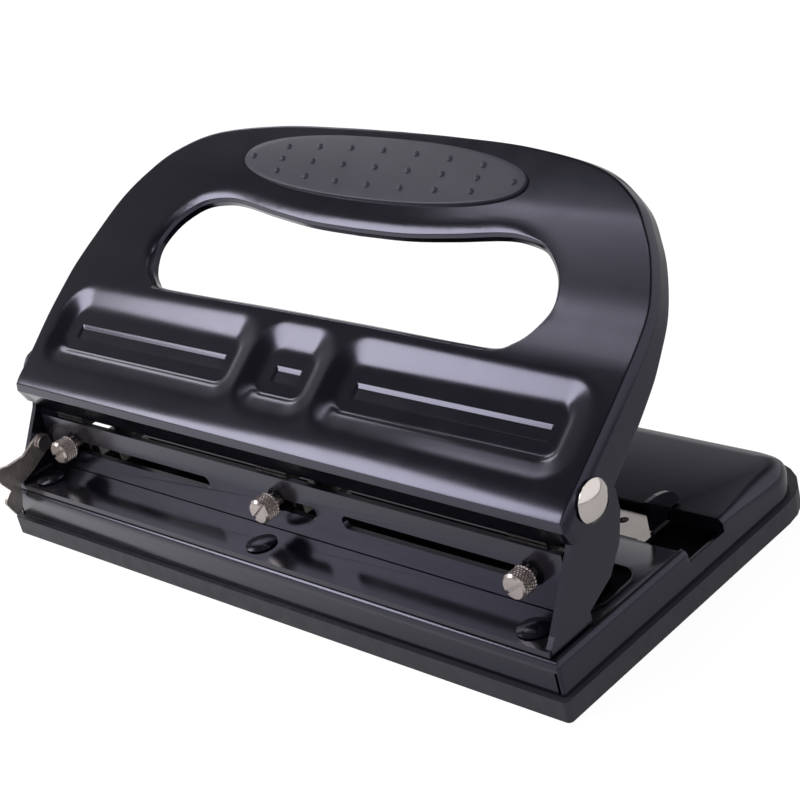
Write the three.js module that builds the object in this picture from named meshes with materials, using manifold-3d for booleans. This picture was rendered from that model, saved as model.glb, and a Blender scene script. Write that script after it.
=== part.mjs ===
// Three-hole punch with a sheet-steel handle, three sliding punch heads and a chip tray.
// Units are millimetres. X runs along the punch, Y from the thumbscrews to the paper table, Z up.
// While it is built, X 0 is the middle punch, Y 0 the front face of the rail and Z 0 the table.
import * as THREE from 'three';
import { mergeVertices } from 'three/addons/utils/BufferGeometryUtils.js';
import { ConvexGeometry } from 'three/addons/geometries/ConvexGeometry.js';
import Module from 'manifold-3d';

// Driving dimensions
const holeSpacing = 108;        // between neighbouring punches, 4 1/4 inch
const endOverhang = 21;         // from an outer punch to the end of the handle
const clearance = 0.3;          // between pieces that touch or run in each other
const overrun = 2;              // how far a cutter runs past the face that it cuts

// Chip tray
const trayFrontY = -19.4;
const trayHeight = 6.8;
const trayWall = 1.8;
const trayFloor = 1.6;
const trayLedge = 1.5;          // thickness of the turned-in top edge
const trayLedgeLap = 2.8;       // how far the ledge reaches in under the base's walls
const trayCornerRadius = 22;
const trayFrontRadius = 1.5;

// Base pan
const panSheet = 1.5;
const panHeight = 11.2;         // from its lower edge to the paper table
const panSideInset = 1.8;       // from the tray's edge in to the pan's wall
const panFrontInset = 2;
const panRearInset = 7;
const panShoulder = 2.4;
const panRearShoulder = 9.5;
const panCornerRadius = 15;
const panFrontRadius = 1.2;
const panStepDepth = 1.3;       // the middle zone lies this much below the paper table
const troughEndInset = 0.2;     // from the rail's end in to the trough's end
const troughFrontY = 8;
const troughWidth = 22;
const troughRadius = 6;
const troughLip = 0.6;
const troughLipWidth = 1.2;
const channelGap = 14.3;        // from the trough back to the channel
const channelWidth = 16.2;
const channelDepth = 4.4;       // below the paper table
const channelLeftX = -20;
const tableDepth = 44.7;        // from the channel back to the pan's rear wall
const gateReach = 19.3;         // the wider cutout through the right rim
const gateExtra = 0.8;
const seamWidth = 1;
const seamHeight = 7.4;
const seamInset = 1.8;
const tongueSpacing = 120;
const tongueWidth = 20;
const tongueReach = 4.8;        // how far a tongue hooks under the tray's rear ledge
const tongueDrop = 1.5;         // from the ledge's underside to the hook

// Punch frame
const frameSheet = 1.9;
const frameInset = 0.9;         // from the pan's front wall back to the plate's edge
const earGap = 1.2;             // from the handle's flange in to the ear
const earSheet = 2;
const earBend = 2.7;
const pivotY = 9.6;
const earTipRadius = 5;
const earRearY = 22.4;
const earToeY = -15.5;
const earFrontLowY = -13.3;
const earFrontLowRise = 3;
const earFrontTopY = -0.3;
const earFrontTopRise = 22.7;

// Rail plate
const railSheet = 2;
const railRise = 20.5;          // from the plate up to the rail's top edge
const railEndGap = 2.1;         // from the ear in to the rail's end
const slotHeight = 4.7;
const screwRise = 10.5;
const sideSlotInner = 31.8;
const slotPastHole = 4;
const middleSlotLeft = -4.2;
const middleSlotRight = 20.2;

// Handle
const handleLean = 55.1;        // degrees back from upright
const handleHeight = 117.1;     // up the face from the lip line
const handleSheet = 1.5;
const handleFold = 3;
const pivotUp = 10.8;           // from the lip line up the face to the pivot
const pivotDepth = 6.9;         // from the face's outer side in to the pivot
const lipDrop = 2.7;
const lipDepth = 12;
const lipGap = 1.9;             // from the rail's top edge up to the lip
const lipEarDepth = 5;          // where the ears pass it
const flangeDepth = 13.4;
const windowInset = 38;
const windowLowS = 47;
const windowTopInset = 33.8;
const windowFlange = 6;
const pocketDepth = 3.1;
const landLowS = 22.7;
const landWidth = 5.4;
const pocketLowS = 13.5;
const pocketHighGap = 5;        // from the pockets up to the window
const pocketRadius = 8;
const sideLandInner = 30;
const landPastHole = 1.5;
const sidePocketInner = 19;
const pocketPastHole = 9;
const middleLandHalf = 6;
const middlePocketHalf = 12;

// Grip
const gripInset = 25.8;         // from the window's end
const gripHalfHeight = 11.4;
const gripTopInset = 16.2;
const gripEdge = 1.2;
const gripCrown = 1.6;
const gripRoundShare = 0.9;
const gripSides = 32;
const nubSpacingShare = 0.2335;
const nubFallShare = 0.75;
const nubSinkShare = 0.3;
const nubRadius = 1.3;
const nubRowPitch = 6.6;

// Punch heads, pins and springs
const headHalfWidth = 7.5;
const headWeb = 3;
const headOverRail = 1.4;
const headFoot = 1.2;           // front face of the lower jaw behind the trough's front edge
const jawHeight = 4.8;
const throatHeight = 4.5;
const throatBackY = 12.5;
const guideThickness = 2.6;
const guideDrop = 2;            // from the head's top down to the upper guide
const pinSetback = 14;          // from the trough's front edge
const pinRadius = 3.5;
const pinTipRise = 0.9;         // above the paper throat
const pinHeadRise = 6.6;        // centre of the round head above the handle's pivot
const pinNotch = 1;
const notchShare = 0.8;         // of the pin's radius
const dieRadius = 5.6;
const clipRadius = 6.2;
const clipThickness = 1.2;
const clipDrop = 4.8;           // from the centre of the pin's head
const springRadius = 5;
const springWire = 0.6;
const springCurls = 7;

// Thumbscrews
const screwHeadRadius = 4.3;
const screwHeadLength = 6.2;
const screwNeck = 0.7;
const screwNeckRadius = 3.1;
const screwRadius = 2;
const screwTail = 1.6;          // past the back of the punch head's web
const screwChamfer = 0.6;
const knurlDepth = 0.3;
const knurlTeeth = 16;
const screwSlot = 1;

// Rivets
const pivotRivetRadius = 6.5;
const pivotRivetDome = 3.1;
const pivotRivetShank = 2.6;
const frameRivetRadius = 5.2;
const frameRivetDome = 1;
const frameRivetShank = 2;
const frameRivetY = -9.2;
const frameRivetInset = 9.6;    // from the ear's inner face to the outer rivets
const rivetTail = 1.3;
const rivetTailRadius = 3.8;

// Lock lever
const leverSheet = 1.4;
const leverPivotY = -3.3;
const leverRise = 10.1;
const leverReach = 22.3;        // from the pivot forward to the front tip
const leverHeight = 19.4;       // from the pivot down to the lowest tip
const leverEyeRadius = 3.6;
const leverRivetShank = 1.6;
const leverRivetHead = 2.8;
const leverRivetCap = 1.1;

// Paper guide
const stripSetback = 1.1;       // from the channel's front wall
const stripWidth = 12.7;
const stripSheet = 1.5;
const stripLeftX = 6;
const stripPastGate = 1.8;
const stripHoleInset = 13.8;
const stripHoleRadius = 1.7;
const stripHoleShare = 0.6;     // of the strip's width
const tabSheet = 1.5;
const tabInset = 0.5;
const tabSetback = 5.2;
const tabWidth = 14;
const tabRise = 7.9;            // above the paper table
const tabShoulder = 0.6;

// Values worked out from the sizes above
const handleHalfWidth = holeSpacing + endOverhang;
const panHalfLength = handleHalfWidth + clearance;
const trayHalfLength = panHalfLength + panSideInset;
const panFrontY = trayFrontY + panFrontInset;
const panBottomZ = trayHeight + clearance;
const panTopZ = panBottomZ + panHeight;
const panStepZ = panTopZ - panStepDepth;
const channelFrontY = troughFrontY + troughWidth + channelGap;
const channelFloorZ = panTopZ - channelDepth;
const tableFrontY = channelFrontY + channelWidth;
const panRearY = tableFrontY + tableDepth;
const trayRearY = panRearY + panRearInset;
const gateLeftX = panHalfLength - gateReach;
const frameFrontY = panFrontY + frameInset;
const frameBottomZ = panTopZ + clearance;
const frameTopZ = frameBottomZ + frameSheet;
const earOuterX = handleHalfWidth - handleSheet - earGap;
const earInnerX = earOuterX - earSheet;
const railHalfLength = earInnerX - railEndGap;
const railBottomZ = frameTopZ + clearance;
const railTopZ = frameTopZ + railRise;
const leanTurn = THREE.MathUtils.degToRad(90 - handleLean);
const pivotOverLip = (pivotUp + lipDrop) * Math.sin(leanTurn) + (lipDepth - pivotDepth) * Math.cos(leanTurn);
const pivotZ = railTopZ + lipGap + pivotOverLip;
const screwZ = frameTopZ + screwRise;
const sideSlotOuter = holeSpacing + slotPastHole;
const troughHalfLength = railHalfLength - troughEndInset;
const windowHalfWidth = handleHalfWidth - windowInset;
const windowHighS = handleHeight - windowTopInset;
const landHighS = landLowS + landWidth;
const pocketHighS = windowLowS - pocketHighGap;
const sideLandOuter = holeSpacing + landPastHole;
const sidePocketOuter = holeSpacing + pocketPastHole;
const gripHalfLength = windowHalfWidth - gripInset;
const gripCentreS = handleHeight - gripTopInset;
const headBackY = railSheet + clearance;
const headTopZ = railTopZ + headOverRail;
const guideTopZ = headTopZ - guideDrop;
const webBackY = headBackY + headWeb;
const jawFrontY = troughFrontY + headFoot;
const jawTopZ = panTopZ - clearance;
const jawBottomZ = jawTopZ - jawHeight;
const throatTopZ = jawTopZ + throatHeight;
const headFootZ = panStepZ + troughLip + clearance;
const pinY = troughFrontY + pinSetback;
const pinTipZ = throatTopZ + pinTipRise;
const pinHeadZ = pivotZ + pinHeadRise;
const clipZ = pinHeadZ - clipDrop;
const leverPivotZ = frameTopZ + leverRise;
const stripFrontY = channelFrontY + stripSetback;
const stripRightX = gateLeftX + stripPastGate;
const stripHoleX = stripRightX - stripHoleInset;
const tabFrontY = stripFrontY + tabSetback;
const tabRearY = tabFrontY + tabWidth;
const tabTopZ = panTopZ + tabRise;

const wasm = await Module();
wasm.setup();

// Surface finishes
const finish = (color, roughness, metalness) =>
  new THREE.MeshStandardMaterial({ color, roughness, metalness });
const blackPaint = () => finish(0x15151a, 0.25, 0.1);
const trayPlastic = () => finish(0x2c2b30, 0.7, 0);
const gripPlastic = () => finish(0x3a3a40, 0.75, 0);
const nickel = () => finish(0xc9c4bd, 0.2, 1);
const steel = () => finish(0x9c9a98, 0.35, 1);

// Solids
function solid(geometry) {
  const bare = geometry.clone();
  bare.deleteAttribute('normal');
  bare.deleteAttribute('uv');
  const merged = mergeVertices(bare);
  return new wasm.Manifold(new wasm.Mesh({
    numProp: 3,
    vertProperties: new Float32Array(merged.attributes.position.array),
    triVerts: new Uint32Array(merged.index.array),
  }));
}

function geometryOf(body) {
  const mesh = body.getMesh();
  const geometry = new THREE.BufferGeometry();
  geometry.setAttribute('position', new THREE.BufferAttribute(mesh.vertProperties, 3));
  geometry.setIndex(new THREE.BufferAttribute(mesh.triVerts, 1));
  geometry.computeVertexNormals();
  return geometry;
}

const join = (first, ...others) => others.reduce((body, other) => body.add(other), first);
const cut = (first, ...others) => others.reduce((body, other) => body.subtract(other), first);

function extrude(points, depth, options = {}) {
  const shape = new THREE.Shape(points);
  return new THREE.ExtrudeGeometry(shape, { depth, bevelEnabled: false, ...options });
}

// An X-Y outline raised along Z.
function upright(points, lowZ, highZ) {
  return solid(extrude(points, highZ - lowZ).translate(0, 0, lowZ));
}

// A convex outline with every edge moved inwards by a distance.
function shrunk(points, distance) {
  let inside = points;
  points.forEach((start, i) => {
    const along = points[(i + 1) % points.length].clone().sub(start).normalize();
    const inward = new THREE.Vector2(-along.y, along.x);
    const beyond = (p) => p.clone().sub(start).dot(inward) - distance;
    inside = inside.flatMap((p, k) => {
      const q = inside[(k + 1) % inside.length];
      const [a, b] = [beyond(p), beyond(q)];
      const crossing = a * b < 0 ? [p.clone().lerp(q, a / (a - b))] : [];
      return a >= 0 ? [p, ...crossing] : crossing;
    });
  });
  return inside;
}

// A convex X-Y outline raised along Z, its top edge rounded.
function rounded(points, lowZ, highZ, radius, steps = 5) {
  const at = (inset, z) => shrunk(points, inset).map((p) => new THREE.Vector3(p.x, p.y, z));
  const rings = [at(0, lowZ)];
  for (let i = 0; i <= steps; i += 1) {
    const turn = (i / steps) * Math.PI / 2;
    rings.push(at(radius * (1 - Math.cos(turn)), highZ - radius * (1 - Math.sin(turn))));
  }
  return solid(new ConvexGeometry(rings.flat()));
}

// A Y-Z outline drawn along X.
function across(points, lowX, highX) {
  const toYZ = new THREE.Matrix4().makeBasis(
    new THREE.Vector3(0, 1, 0), new THREE.Vector3(0, 0, 1), new THREE.Vector3(1, 0, 0));
  return solid(extrude(points, highX - lowX).applyMatrix4(toYZ).translate(lowX, 0, 0));
}

// An X-Z outline drawn along Y.
function deep(points, lowY, highY) {
  return solid(extrude(points, highY - lowY).rotateX(Math.PI / 2).translate(0, highY, 0));
}

function box(lowX, highX, lowY, highY, lowZ, highZ) {
  const geometry = new THREE.BoxGeometry(highX - lowX, highY - lowY, highZ - lowZ);
  return solid(geometry.translate((lowX + highX) / 2, (lowY + highY) / 2, (lowZ + highZ) / 2));
}

// A turned piece round Z; its profile runs in radius and height from axis to axis.
function turned(profile, sides = 20) {
  const points = profile.map(([r, z]) => new THREE.Vector2(r, z));
  return new THREE.LatheGeometry(points, sides).rotateX(Math.PI / 2);
}

function drum(radius, lowZ, highZ, sides = 20) {
  return turned([[0, lowZ], [radius, lowZ], [radius, highZ], [0, highZ]], sides);
}

// A low dome with a flat foot at height 0.
function domeProfile(radius, height, steps = 4) {
  const profile = [[0, 0]];
  for (let i = 0; i < steps; i += 1) {
    const turn = (i / steps) * Math.PI / 2;
    profile.push([radius * Math.cos(turn), height * Math.sin(turn)]);
  }
  profile.push([0, height]);
  return profile;
}

const vector = ([x, y]) => new THREE.Vector2(x, y);
const mirror = (points) => points.map((p) => new THREE.Vector2(-p.x, p.y)).reverse();

// A rectangle whose corners have their own radii: front left, front right, rear right, rear left.
function roundRectangle(lowX, highX, lowY, highY, radii, steps = 6) {
  const corners = [
    [lowX, lowY, 1, 1, Math.PI], [highX, lowY, -1, 1, 1.5 * Math.PI],
    [highX, highY, -1, -1, 0], [lowX, highY, 1, -1, 0.5 * Math.PI],
  ];
  return corners.flatMap(([x, y, inX, inY, start], i) => {
    const radius = radii[i];
    return Array.from({ length: steps + 1 }, (_, k) => {
      const turn = start + (k / steps) * Math.PI / 2;
      return new THREE.Vector2(x + radius * (inX + Math.cos(turn)), y + radius * (inY + Math.sin(turn)));
    });
  });
}

// A closed outline moved outwards by a distance.
function grown(points, distance) {
  return points.map((point, i) => {
    const before = point.clone().sub(points[(i + points.length - 1) % points.length]).normalize();
    const after = points[(i + 1) % points.length].clone().sub(point).normalize();
    const out = new THREE.Vector2(before.y + after.y, -before.x - after.x).normalize();
    return point.clone().addScaledVector(out, distance / Math.max(0.5, out.x * after.y - out.y * after.x));
  });
}

// Chip tray: an open tray whose top edge is turned in and carries the base
function chipTray() {
  const half = trayHalfLength;
  const radii = (inset) => [trayFrontRadius, trayFrontRadius, trayCornerRadius, trayCornerRadius]
    .map((radius) => Math.max(radius - inset, trayFrontRadius / 2));
  const outer = roundRectangle(-half, half, trayFrontY, trayRearY, radii(0));
  const inner = roundRectangle(-half + trayWall, half - trayWall, trayFrontY + trayWall,
    trayRearY - trayWall, radii(trayWall));
  const mouthX = panHalfLength - trayLedgeLap;
  const mouth = roundRectangle(-mouthX, mouthX, panFrontY + trayLedgeLap, panRearY - trayLedgeLap,
    [panFrontRadius, panFrontRadius, panCornerRadius - trayLedgeLap, panCornerRadius - trayLedgeLap]);
  return cut(upright(outer, 0, trayHeight), upright(inner, trayFloor, trayHeight - trayLedge),
    upright(mouth, trayHeight / 2, trayHeight + overrun));
}

// Base pan: a drawn sheet-steel cover with the paper table, trough and guide channel
function basePan() {
  const outline = roundRectangle(-panHalfLength, panHalfLength, panFrontY, panRearY,
    [panFrontRadius, panFrontRadius, panCornerRadius, panCornerRadius]);
  const wide = panHalfLength + overrun;
  const beyond = 2 * panRearShoulder;
  const rearOutline = roundRectangle(-panHalfLength - beyond, panHalfLength + beyond, panFrontY - beyond,
    panRearY, [panFrontRadius, panFrontRadius, panCornerRadius, panCornerRadius]);
  const skin = rounded(outline, panBottomZ, panTopZ, panShoulder)
    .intersect(rounded(rearOutline, panBottomZ - overrun, panTopZ, panRearShoulder));
  const hollow = rounded(shrunk(outline, panSheet), panBottomZ - overrun, panTopZ - panSheet,
    panShoulder - panSheet).intersect(rounded(shrunk(rearOutline, panSheet), panBottomZ - 2 * overrun,
    panTopZ - panSheet, panRearShoulder - panSheet));
  const stepX = panHalfLength - panShoulder;
  const step = (drop, margin) => box(-stepX - margin, stepX + margin, railSheet - margin,
    tableFrontY + margin, panStepZ - drop, panTopZ + overrun);
  const channel = (drop, margin) => join(
    box(channelLeftX - margin, wide, channelFrontY - margin, tableFrontY + margin,
      channelFloorZ - drop, panTopZ + overrun),
    upright(roundRectangle(gateLeftX - margin, wide, channelFrontY - gateExtra - margin,
      tableFrontY + gateExtra + margin, [panSheet, panSheet, panSheet, panSheet]),
    channelFloorZ - drop, panTopZ + overrun));
  const inside = cut(hollow, step(panSheet, panSheet), channel(panSheet, panSheet));
  const troughOutline = roundRectangle(-troughHalfLength, troughHalfLength, troughFrontY,
    troughFrontY + troughWidth, [troughRadius, troughRadius, troughRadius, troughRadius]);
  const rimTopZ = panStepZ + troughLip;
  const troughRim = upright(grown(troughOutline, troughLipWidth), panStepZ - panSheet / 2, rimTopZ);
  const trough = upright(troughOutline, panBottomZ, panTopZ + overrun);
  const rivetHoles = frameRivetPlaces().map((x) => solid(
    drum(frameRivetShank + clearance, panBottomZ, panTopZ + overrun, 16).translate(x, frameRivetY, 0)));
  const seams = [-1, 1].map((side) => {
    const x = side * (panHalfLength - seamInset);
    return box(x - seamWidth / 2, x + seamWidth / 2, panFrontY - overrun, panFrontY + panSheet + overrun,
      panBottomZ - overrun, panBottomZ + seamHeight);
  });
  const gateHole = upright(roundRectangle(gateLeftX, panHalfLength - panSheet, channelFrontY - gateExtra,
    tableFrontY + gateExtra, [panSheet, panSheet, panSheet, panSheet]), panBottomZ, panTopZ + overrun);
  const body = cut(join(cut(skin, step(0, 0), channel(0, 0), inside), troughRim),
    trough, gateHole, ...rivetHoles, ...seams);
  return join(body, ...[-1, 1].map((side) => tongue(side * tongueSpacing / 2)));
}

// A tongue on the pan's rear wall that hooks under the tray's ledge, so the base tips up about it.
function tongue(x) {
  const backY = panRearY - trayLedgeLap - clearance;
  const hookTopZ = trayHeight - trayLedge - tongueDrop;
  const outline = [
    [panRearY - panSheet / 2, panBottomZ + panSheet], [backY - panSheet, panBottomZ + panSheet],
    [backY - panSheet, hookTopZ - panSheet], [backY + tongueReach, hookTopZ - panSheet],
    [backY + tongueReach, hookTopZ], [backY, hookTopZ], [backY, panBottomZ],
    [panRearY - panSheet / 2, panBottomZ],
  ];
  return across(outline.map(vector), x - tongueWidth / 2, x + tongueWidth / 2);
}

const frameRivetPlaces = () => [-1, 0, 1].map((side) => side * (earInnerX - frameRivetInset + clearance));

// Punch frame: a bottom plate and two upright ears, bent from one sheet
function earOutline() {
  const points = [[earToeY, frameBottomZ + clearance], [earToeY, frameTopZ + clearance],
    [earFrontLowY, frameTopZ + earFrontLowRise], [earFrontTopY, frameTopZ + earFrontTopRise]].map(vector);
  for (let i = 0; i <= 8; i += 1) {
    const turn = Math.PI * (1 - 0.75 * (i / 8));
    points.push(new THREE.Vector2(Math.cos(turn), Math.sin(turn)).multiplyScalar(earTipRadius)
      .add(new THREE.Vector2(pivotY, pivotZ)));
  }
  const earRise = pivotZ - frameTopZ;
  const rearShares = [[1, 0.887], [1.01, 0.674], [0.86, 0.414], [0.55, 0.195], [0.015, 0.05]];
  const rearReach = earRearY - railSheet;
  rearShares.forEach(([out, up]) => points.push(
    new THREE.Vector2(railSheet + out * rearReach, frameTopZ + up * earRise)));
  points.push(new THREE.Vector2(railSheet + clearance, frameBottomZ + clearance));
  return points.reverse();
}

function punchFrame() {
  const ears = [[-earOuterX, -earInnerX], [earInnerX, earOuterX]].map(([lowX, highX]) =>
    cut(across(earOutline(), lowX, highX), pivotHole()));
  const plateX = earOuterX - clearance;
  const plate = box(-plateX, plateX, frameFrontY, railSheet, frameBottomZ, frameTopZ);
  const bends = [-1, 1].map((side) => {
    const inner = side * earInnerX;
    const leg = earBend - earSheet;
    const gusset = [[inner - side * leg, frameTopZ], [inner - side * leg, frameTopZ - clearance],
      [inner + side * clearance, frameTopZ - clearance], [inner + side * clearance, frameTopZ + leg],
      [inner, frameTopZ + leg]].map(vector);
    return deep(side > 0 ? gusset : gusset.reverse(), earToeY + clearance, -clearance);
  });
  const holes = frameRivetPlaces().map((x) => solid(drum(frameRivetShank + clearance,
    frameBottomZ - overrun, frameTopZ + overrun, 16).translate(x, frameRivetY, 0)));
  return cut(join(plate, ...ears, ...bends), ...holes, leverHole());
}

function axle(radius, lowX, highX, y, z, sides = 24) {
  return solid(drum(radius, lowX, highX, sides).rotateY(Math.PI / 2).translate(0, y, z));
}

const pivotHole = () => axle(pivotRivetShank + clearance, -handleHalfWidth - overrun,
  handleHalfWidth + overrun, pivotY, pivotZ);
const leverHole = () => axle(leverRivetShank + clearance, -earOuterX - overrun,
  -earInnerX + overrun, leverPivotY, leverPivotZ);

// Rail plate with its three slots
function railPlate() {
  const plate = box(-railHalfLength, railHalfLength, 0, railSheet, railBottomZ, railTopZ);
  const r = slotHeight / 2;
  const slotEnds = [[-sideSlotOuter, -sideSlotInner], [middleSlotLeft, middleSlotRight],
    [sideSlotInner, sideSlotOuter]];
  const slots = slotEnds.map(([low, high]) => deep(
    roundRectangle(low, high, screwZ - r, screwZ + r, [r, r, r, r]), -overrun, railSheet + overrun));
  return cut(plate, ...slots);
}

// Handle, drawn flat: X across, Y up the face from the pivot, Z out of the face
const faceZ = pivotDepth;
const upFace = (s) => s - pivotUp;
const inFace = (d) => faceZ - d;

function handleOutline() {
  const cornerShares = [[0.973, -1], [0.991, -0.55]];
  const sideShares = [[0.998, 0.01], [0.999, 0.12], [1, 0.344], [0.992, 0.473], [0.973, 0.58],
    [0.933, 0.688], [0.884, 0.774], [0.798, 0.86], [0.657, 0.932], [0.43, 0.979], [0.2, 0.996], [0, 1]];
  const spline = new THREE.SplineCurve(sideShares.map(([w, h]) =>
    new THREE.Vector2(w * handleHalfWidth, upFace(h * handleHeight))));
  const right = [...cornerShares.map(([w, h]) =>
    new THREE.Vector2(w * handleHalfWidth, upFace(h * lipDrop))), ...spline.getPoints(20)];
  return [...right, ...mirror(right).slice(1)];
}

// The edge-on outline that the handle's turned-back flange follows.
function flangeOutline() {
  const rise = handleHeight + lipDrop;
  const depthShares = [[-0.02, -0.4], [1.02, -0.4], [1.02, 0.56], [0.8, 0.56], [0.66, 0.64], [0.54, 0.72],
    [0.45, 0.84], [0.34, 0.92], [0.2, 0.98], [0.08, 1], [0.03, 0.99], [-0.02, 0.95]];
  return depthShares.map(([up, depth]) =>
    new THREE.Vector2(upFace(up * rise - lipDrop), inFace(depth * flangeDepth)));
}

function windowOutline() {
  const windowShares = [[0, 0.865], [0.242, 0.88], [0.462, 0.93], [0.66, 1], [0.77, 0.995], [0.874, 0.923],
    [0.956, 0.744], [0.995, 0.551], [1, 0.386], [0.967, 0.193], [0.923, 0.083], [0.857, 0.006], [0.66, 0],
    [0.33, 0.008], [0, 0.011]];
  const spline = new THREE.SplineCurve(windowShares.map(([w, h]) => new THREE.Vector2(
    w * windowHalfWidth, upFace(windowLowS + h * (windowHighS - windowLowS)))));
  const right = spline.getPoints(22);
  return [...right, ...mirror(right).slice(1, -1)].reverse();
}

// A pressed pocket: its mouth in the face, its land further in.
function pocket(mouthLeft, mouthRight, landLeft, landRight, margin, mouthZ, landZ) {
  const r = pocketRadius;
  const mouth = roundRectangle(mouthLeft - margin, mouthRight + margin, upFace(pocketLowS) - margin,
    upFace(pocketHighS) + margin, [r, r, r, r], 4);
  const land = roundRectangle(landLeft - margin, landRight + margin, upFace(landLowS) - margin,
    upFace(landHighS) + margin, [margin, margin, margin, margin], 1);
  const points = [...mouth.map((p) => new THREE.Vector3(p.x, p.y, mouthZ)),
    ...land.map((p) => new THREE.Vector3(p.x, p.y, landZ))];
  return points;
}

const pocketPlaces = [
  [-sidePocketOuter, -sidePocketInner, -sideLandOuter, -sideLandInner],
  [-middlePocketHalf, middlePocketHalf, -middleLandHalf, middleLandHalf],
  [sidePocketInner, sidePocketOuter, sideLandInner, sideLandOuter],
];

function handleShell() {
  const outline = handleOutline();
  const backZ = inFace(flangeDepth) - overrun;
  const skin = rounded(outline, backZ, faceZ, handleFold);
  const hollow = rounded(shrunk(outline, handleSheet), backZ - overrun, inFace(handleSheet),
    handleFold - handleSheet);
  const trimX = handleHalfWidth + overrun;
  const sheet = across(flangeOutline(), -trimX, trimX).intersect(cut(skin, hollow));
  const lipLowY = upFace(-lipDrop) - overrun;
  const lipHighY = upFace(-lipDrop) + 2 * handleSheet;
  const earCutX = earOuterX + 2 * clearance;
  const lipHalf = earInnerX - 2 * clearance;
  const lipMiddle = lipHalf + clearance;
  const lipCuts = [box(-lipMiddle, lipMiddle, lipLowY, lipHighY, backZ, inFace(lipDepth)),
    box(-earCutX, -lipHalf, lipLowY, lipHighY, backZ, inFace(lipEarDepth)),
    box(lipHalf, earCutX, lipLowY, lipHighY, backZ, inFace(lipEarDepth))];
  const window = windowOutline();
  const rimLowZ = inFace(windowFlange);
  const windowRing = upright(grown(window, handleSheet), rimLowZ, inFace(handleSheet / 2));
  const windowCut = upright(window, backZ, faceZ + overrun);
  const bumps = pocketPlaces.map((place) => solid(new ConvexGeometry(pocket(...place, handleSheet / 2,
    inFace(handleSheet - clearance / 2), inFace(pocketDepth + handleSheet)))));
  const sharp = clearance / 20;
  const dishes = pocketPlaces.map((place) => solid(new ConvexGeometry([
    ...pocket(...place, sharp, faceZ, inFace(pocketDepth)),
    ...pocket(...place, sharp, faceZ + overrun, inFace(pocketDepth))])));
  const pivot = axle(pivotRivetShank + clearance, -trimX, trimX, 0, 0);
  return cut(join(cut(sheet, ...lipCuts), windowRing, ...bumps), windowCut, ...dishes, pivot);
}

// Grip: a crowned insert with round ends and rows of round nubs
function gripInsert() {
  const rim = Array.from({ length: gripSides }, (_, i) => {
    const [c, s] = [Math.cos, Math.sin].map((wave) => wave((i / gripSides) * 2 * Math.PI));
    const stretch = (value) => Math.sign(value) * Math.abs(value) ** gripRoundShare;
    return new THREE.Vector2(gripHalfLength * stretch(c), gripHalfHeight * stretch(s));
  });
  const centreY = upFace(gripCentreS);
  const at = (share, z) => rim.map((p) => new THREE.Vector3(p.x * share, centreY + p.y * share, z));
  const seat = faceZ + clearance;
  const edge = seat + gripEdge;
  const ringShares = [[1, 0], [0.85, 0.55], [0.5, 1]];
  const body = solid(new ConvexGeometry([...at(1, seat),
    ...ringShares.flatMap(([out, up]) => at(out, edge + up * gripCrown))]));
  const rowShares = [[-1, -0.55, 7], [0, 0, 9], [1, 0.55, 7]];
  const nubs = rowShares.flatMap(([row, bow, count]) => Array.from({ length: count }, (_, i) => {
    const x = (i - (count - 1) / 2) * nubSpacingShare * gripHalfLength;
    const y = nubRowPitch * (row - bow * (x / gripHalfLength) ** 2);
    const out = Math.min(1, Math.hypot(x / gripHalfLength, y / gripHalfHeight));
    const top = edge + gripCrown * (1 - nubFallShare * out ** 2);
    const nub = new THREE.SphereGeometry(nubRadius, 6, 4).rotateX(Math.PI / 2);
    return solid(nub.translate(x, centreY + y, top - nubRadius * nubSinkShare));
  }));
  return join(body, ...nubs);
}

// Punch head: a C-shaped bracket that carries the pin above the paper and the die below it
function punchHead(x) {
  const noseY = pinY + headHalfWidth;
  const profile = [
    [headBackY, headFootZ], [jawFrontY, headFootZ], [jawFrontY, jawBottomZ], [noseY, jawBottomZ],
    [noseY, jawTopZ], [throatBackY, jawTopZ], [throatBackY, throatTopZ], [noseY, throatTopZ],
    [noseY, throatTopZ + guideThickness], [webBackY, throatTopZ + guideThickness],
    [webBackY, guideTopZ - guideThickness], [noseY, guideTopZ - guideThickness], [noseY, guideTopZ],
    [webBackY, guideTopZ], [webBackY, headTopZ], [headBackY, headTopZ],
  ];
  const r = headHalfWidth;
  const plan = roundRectangle(-r, r, headBackY, noseY, [clearance, clearance, r - clearance, r - clearance]);
  const body = across(profile.map(vector), -r, r).intersect(upright(plan, 0, headTopZ + overrun));
  const pinHole = solid(drum(pinRadius + clearance, throatTopZ - overrun / 2, guideTopZ + overrun)
    .translate(0, pinY, 0));
  const dieHole = solid(drum(dieRadius + clearance, jawBottomZ - overrun, jawTopZ + overrun / 2)
    .translate(0, pinY, 0));
  const screwHole = solid(drum(screwRadius + clearance, headBackY - overrun, webBackY + overrun)
    .rotateX(-Math.PI / 2).translate(0, 0, screwZ));
  return cut(body, pinHole, dieHole, screwHole).translate([x, 0, 0]);
}

function dieBush(x) {
  const ring = cut(solid(drum(dieRadius, jawBottomZ, jawTopZ)),
    solid(drum(pinRadius + clearance, jawBottomZ - overrun, jawTopZ + overrun)));
  return ring.translate([x, pinY, 0]);
}

// Punch pin: a round rod with a hollow-ground tip and a round head
function punchPin(x) {
  const profile = [[0, pinTipZ], [pinRadius, pinTipZ], [pinRadius, pinHeadZ]];
  for (let i = 1; i < 6; i += 1) {
    const turn = (i / 6) * Math.PI / 2;
    profile.push([pinRadius * Math.cos(turn), pinHeadZ + pinRadius * Math.sin(turn)]);
  }
  profile.push([0, pinHeadZ + pinRadius]);
  const notchX = pinRadius * notchShare;
  const notch = [[-notchX, pinTipZ - pinNotch], [notchX, pinTipZ - pinNotch], [0, pinTipZ + pinNotch]];
  return cut(solid(turned(profile)), deep(notch.map(vector), -pinRadius - overrun, pinRadius + overrun))
    .translate([x, pinY, 0]);
}

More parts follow.
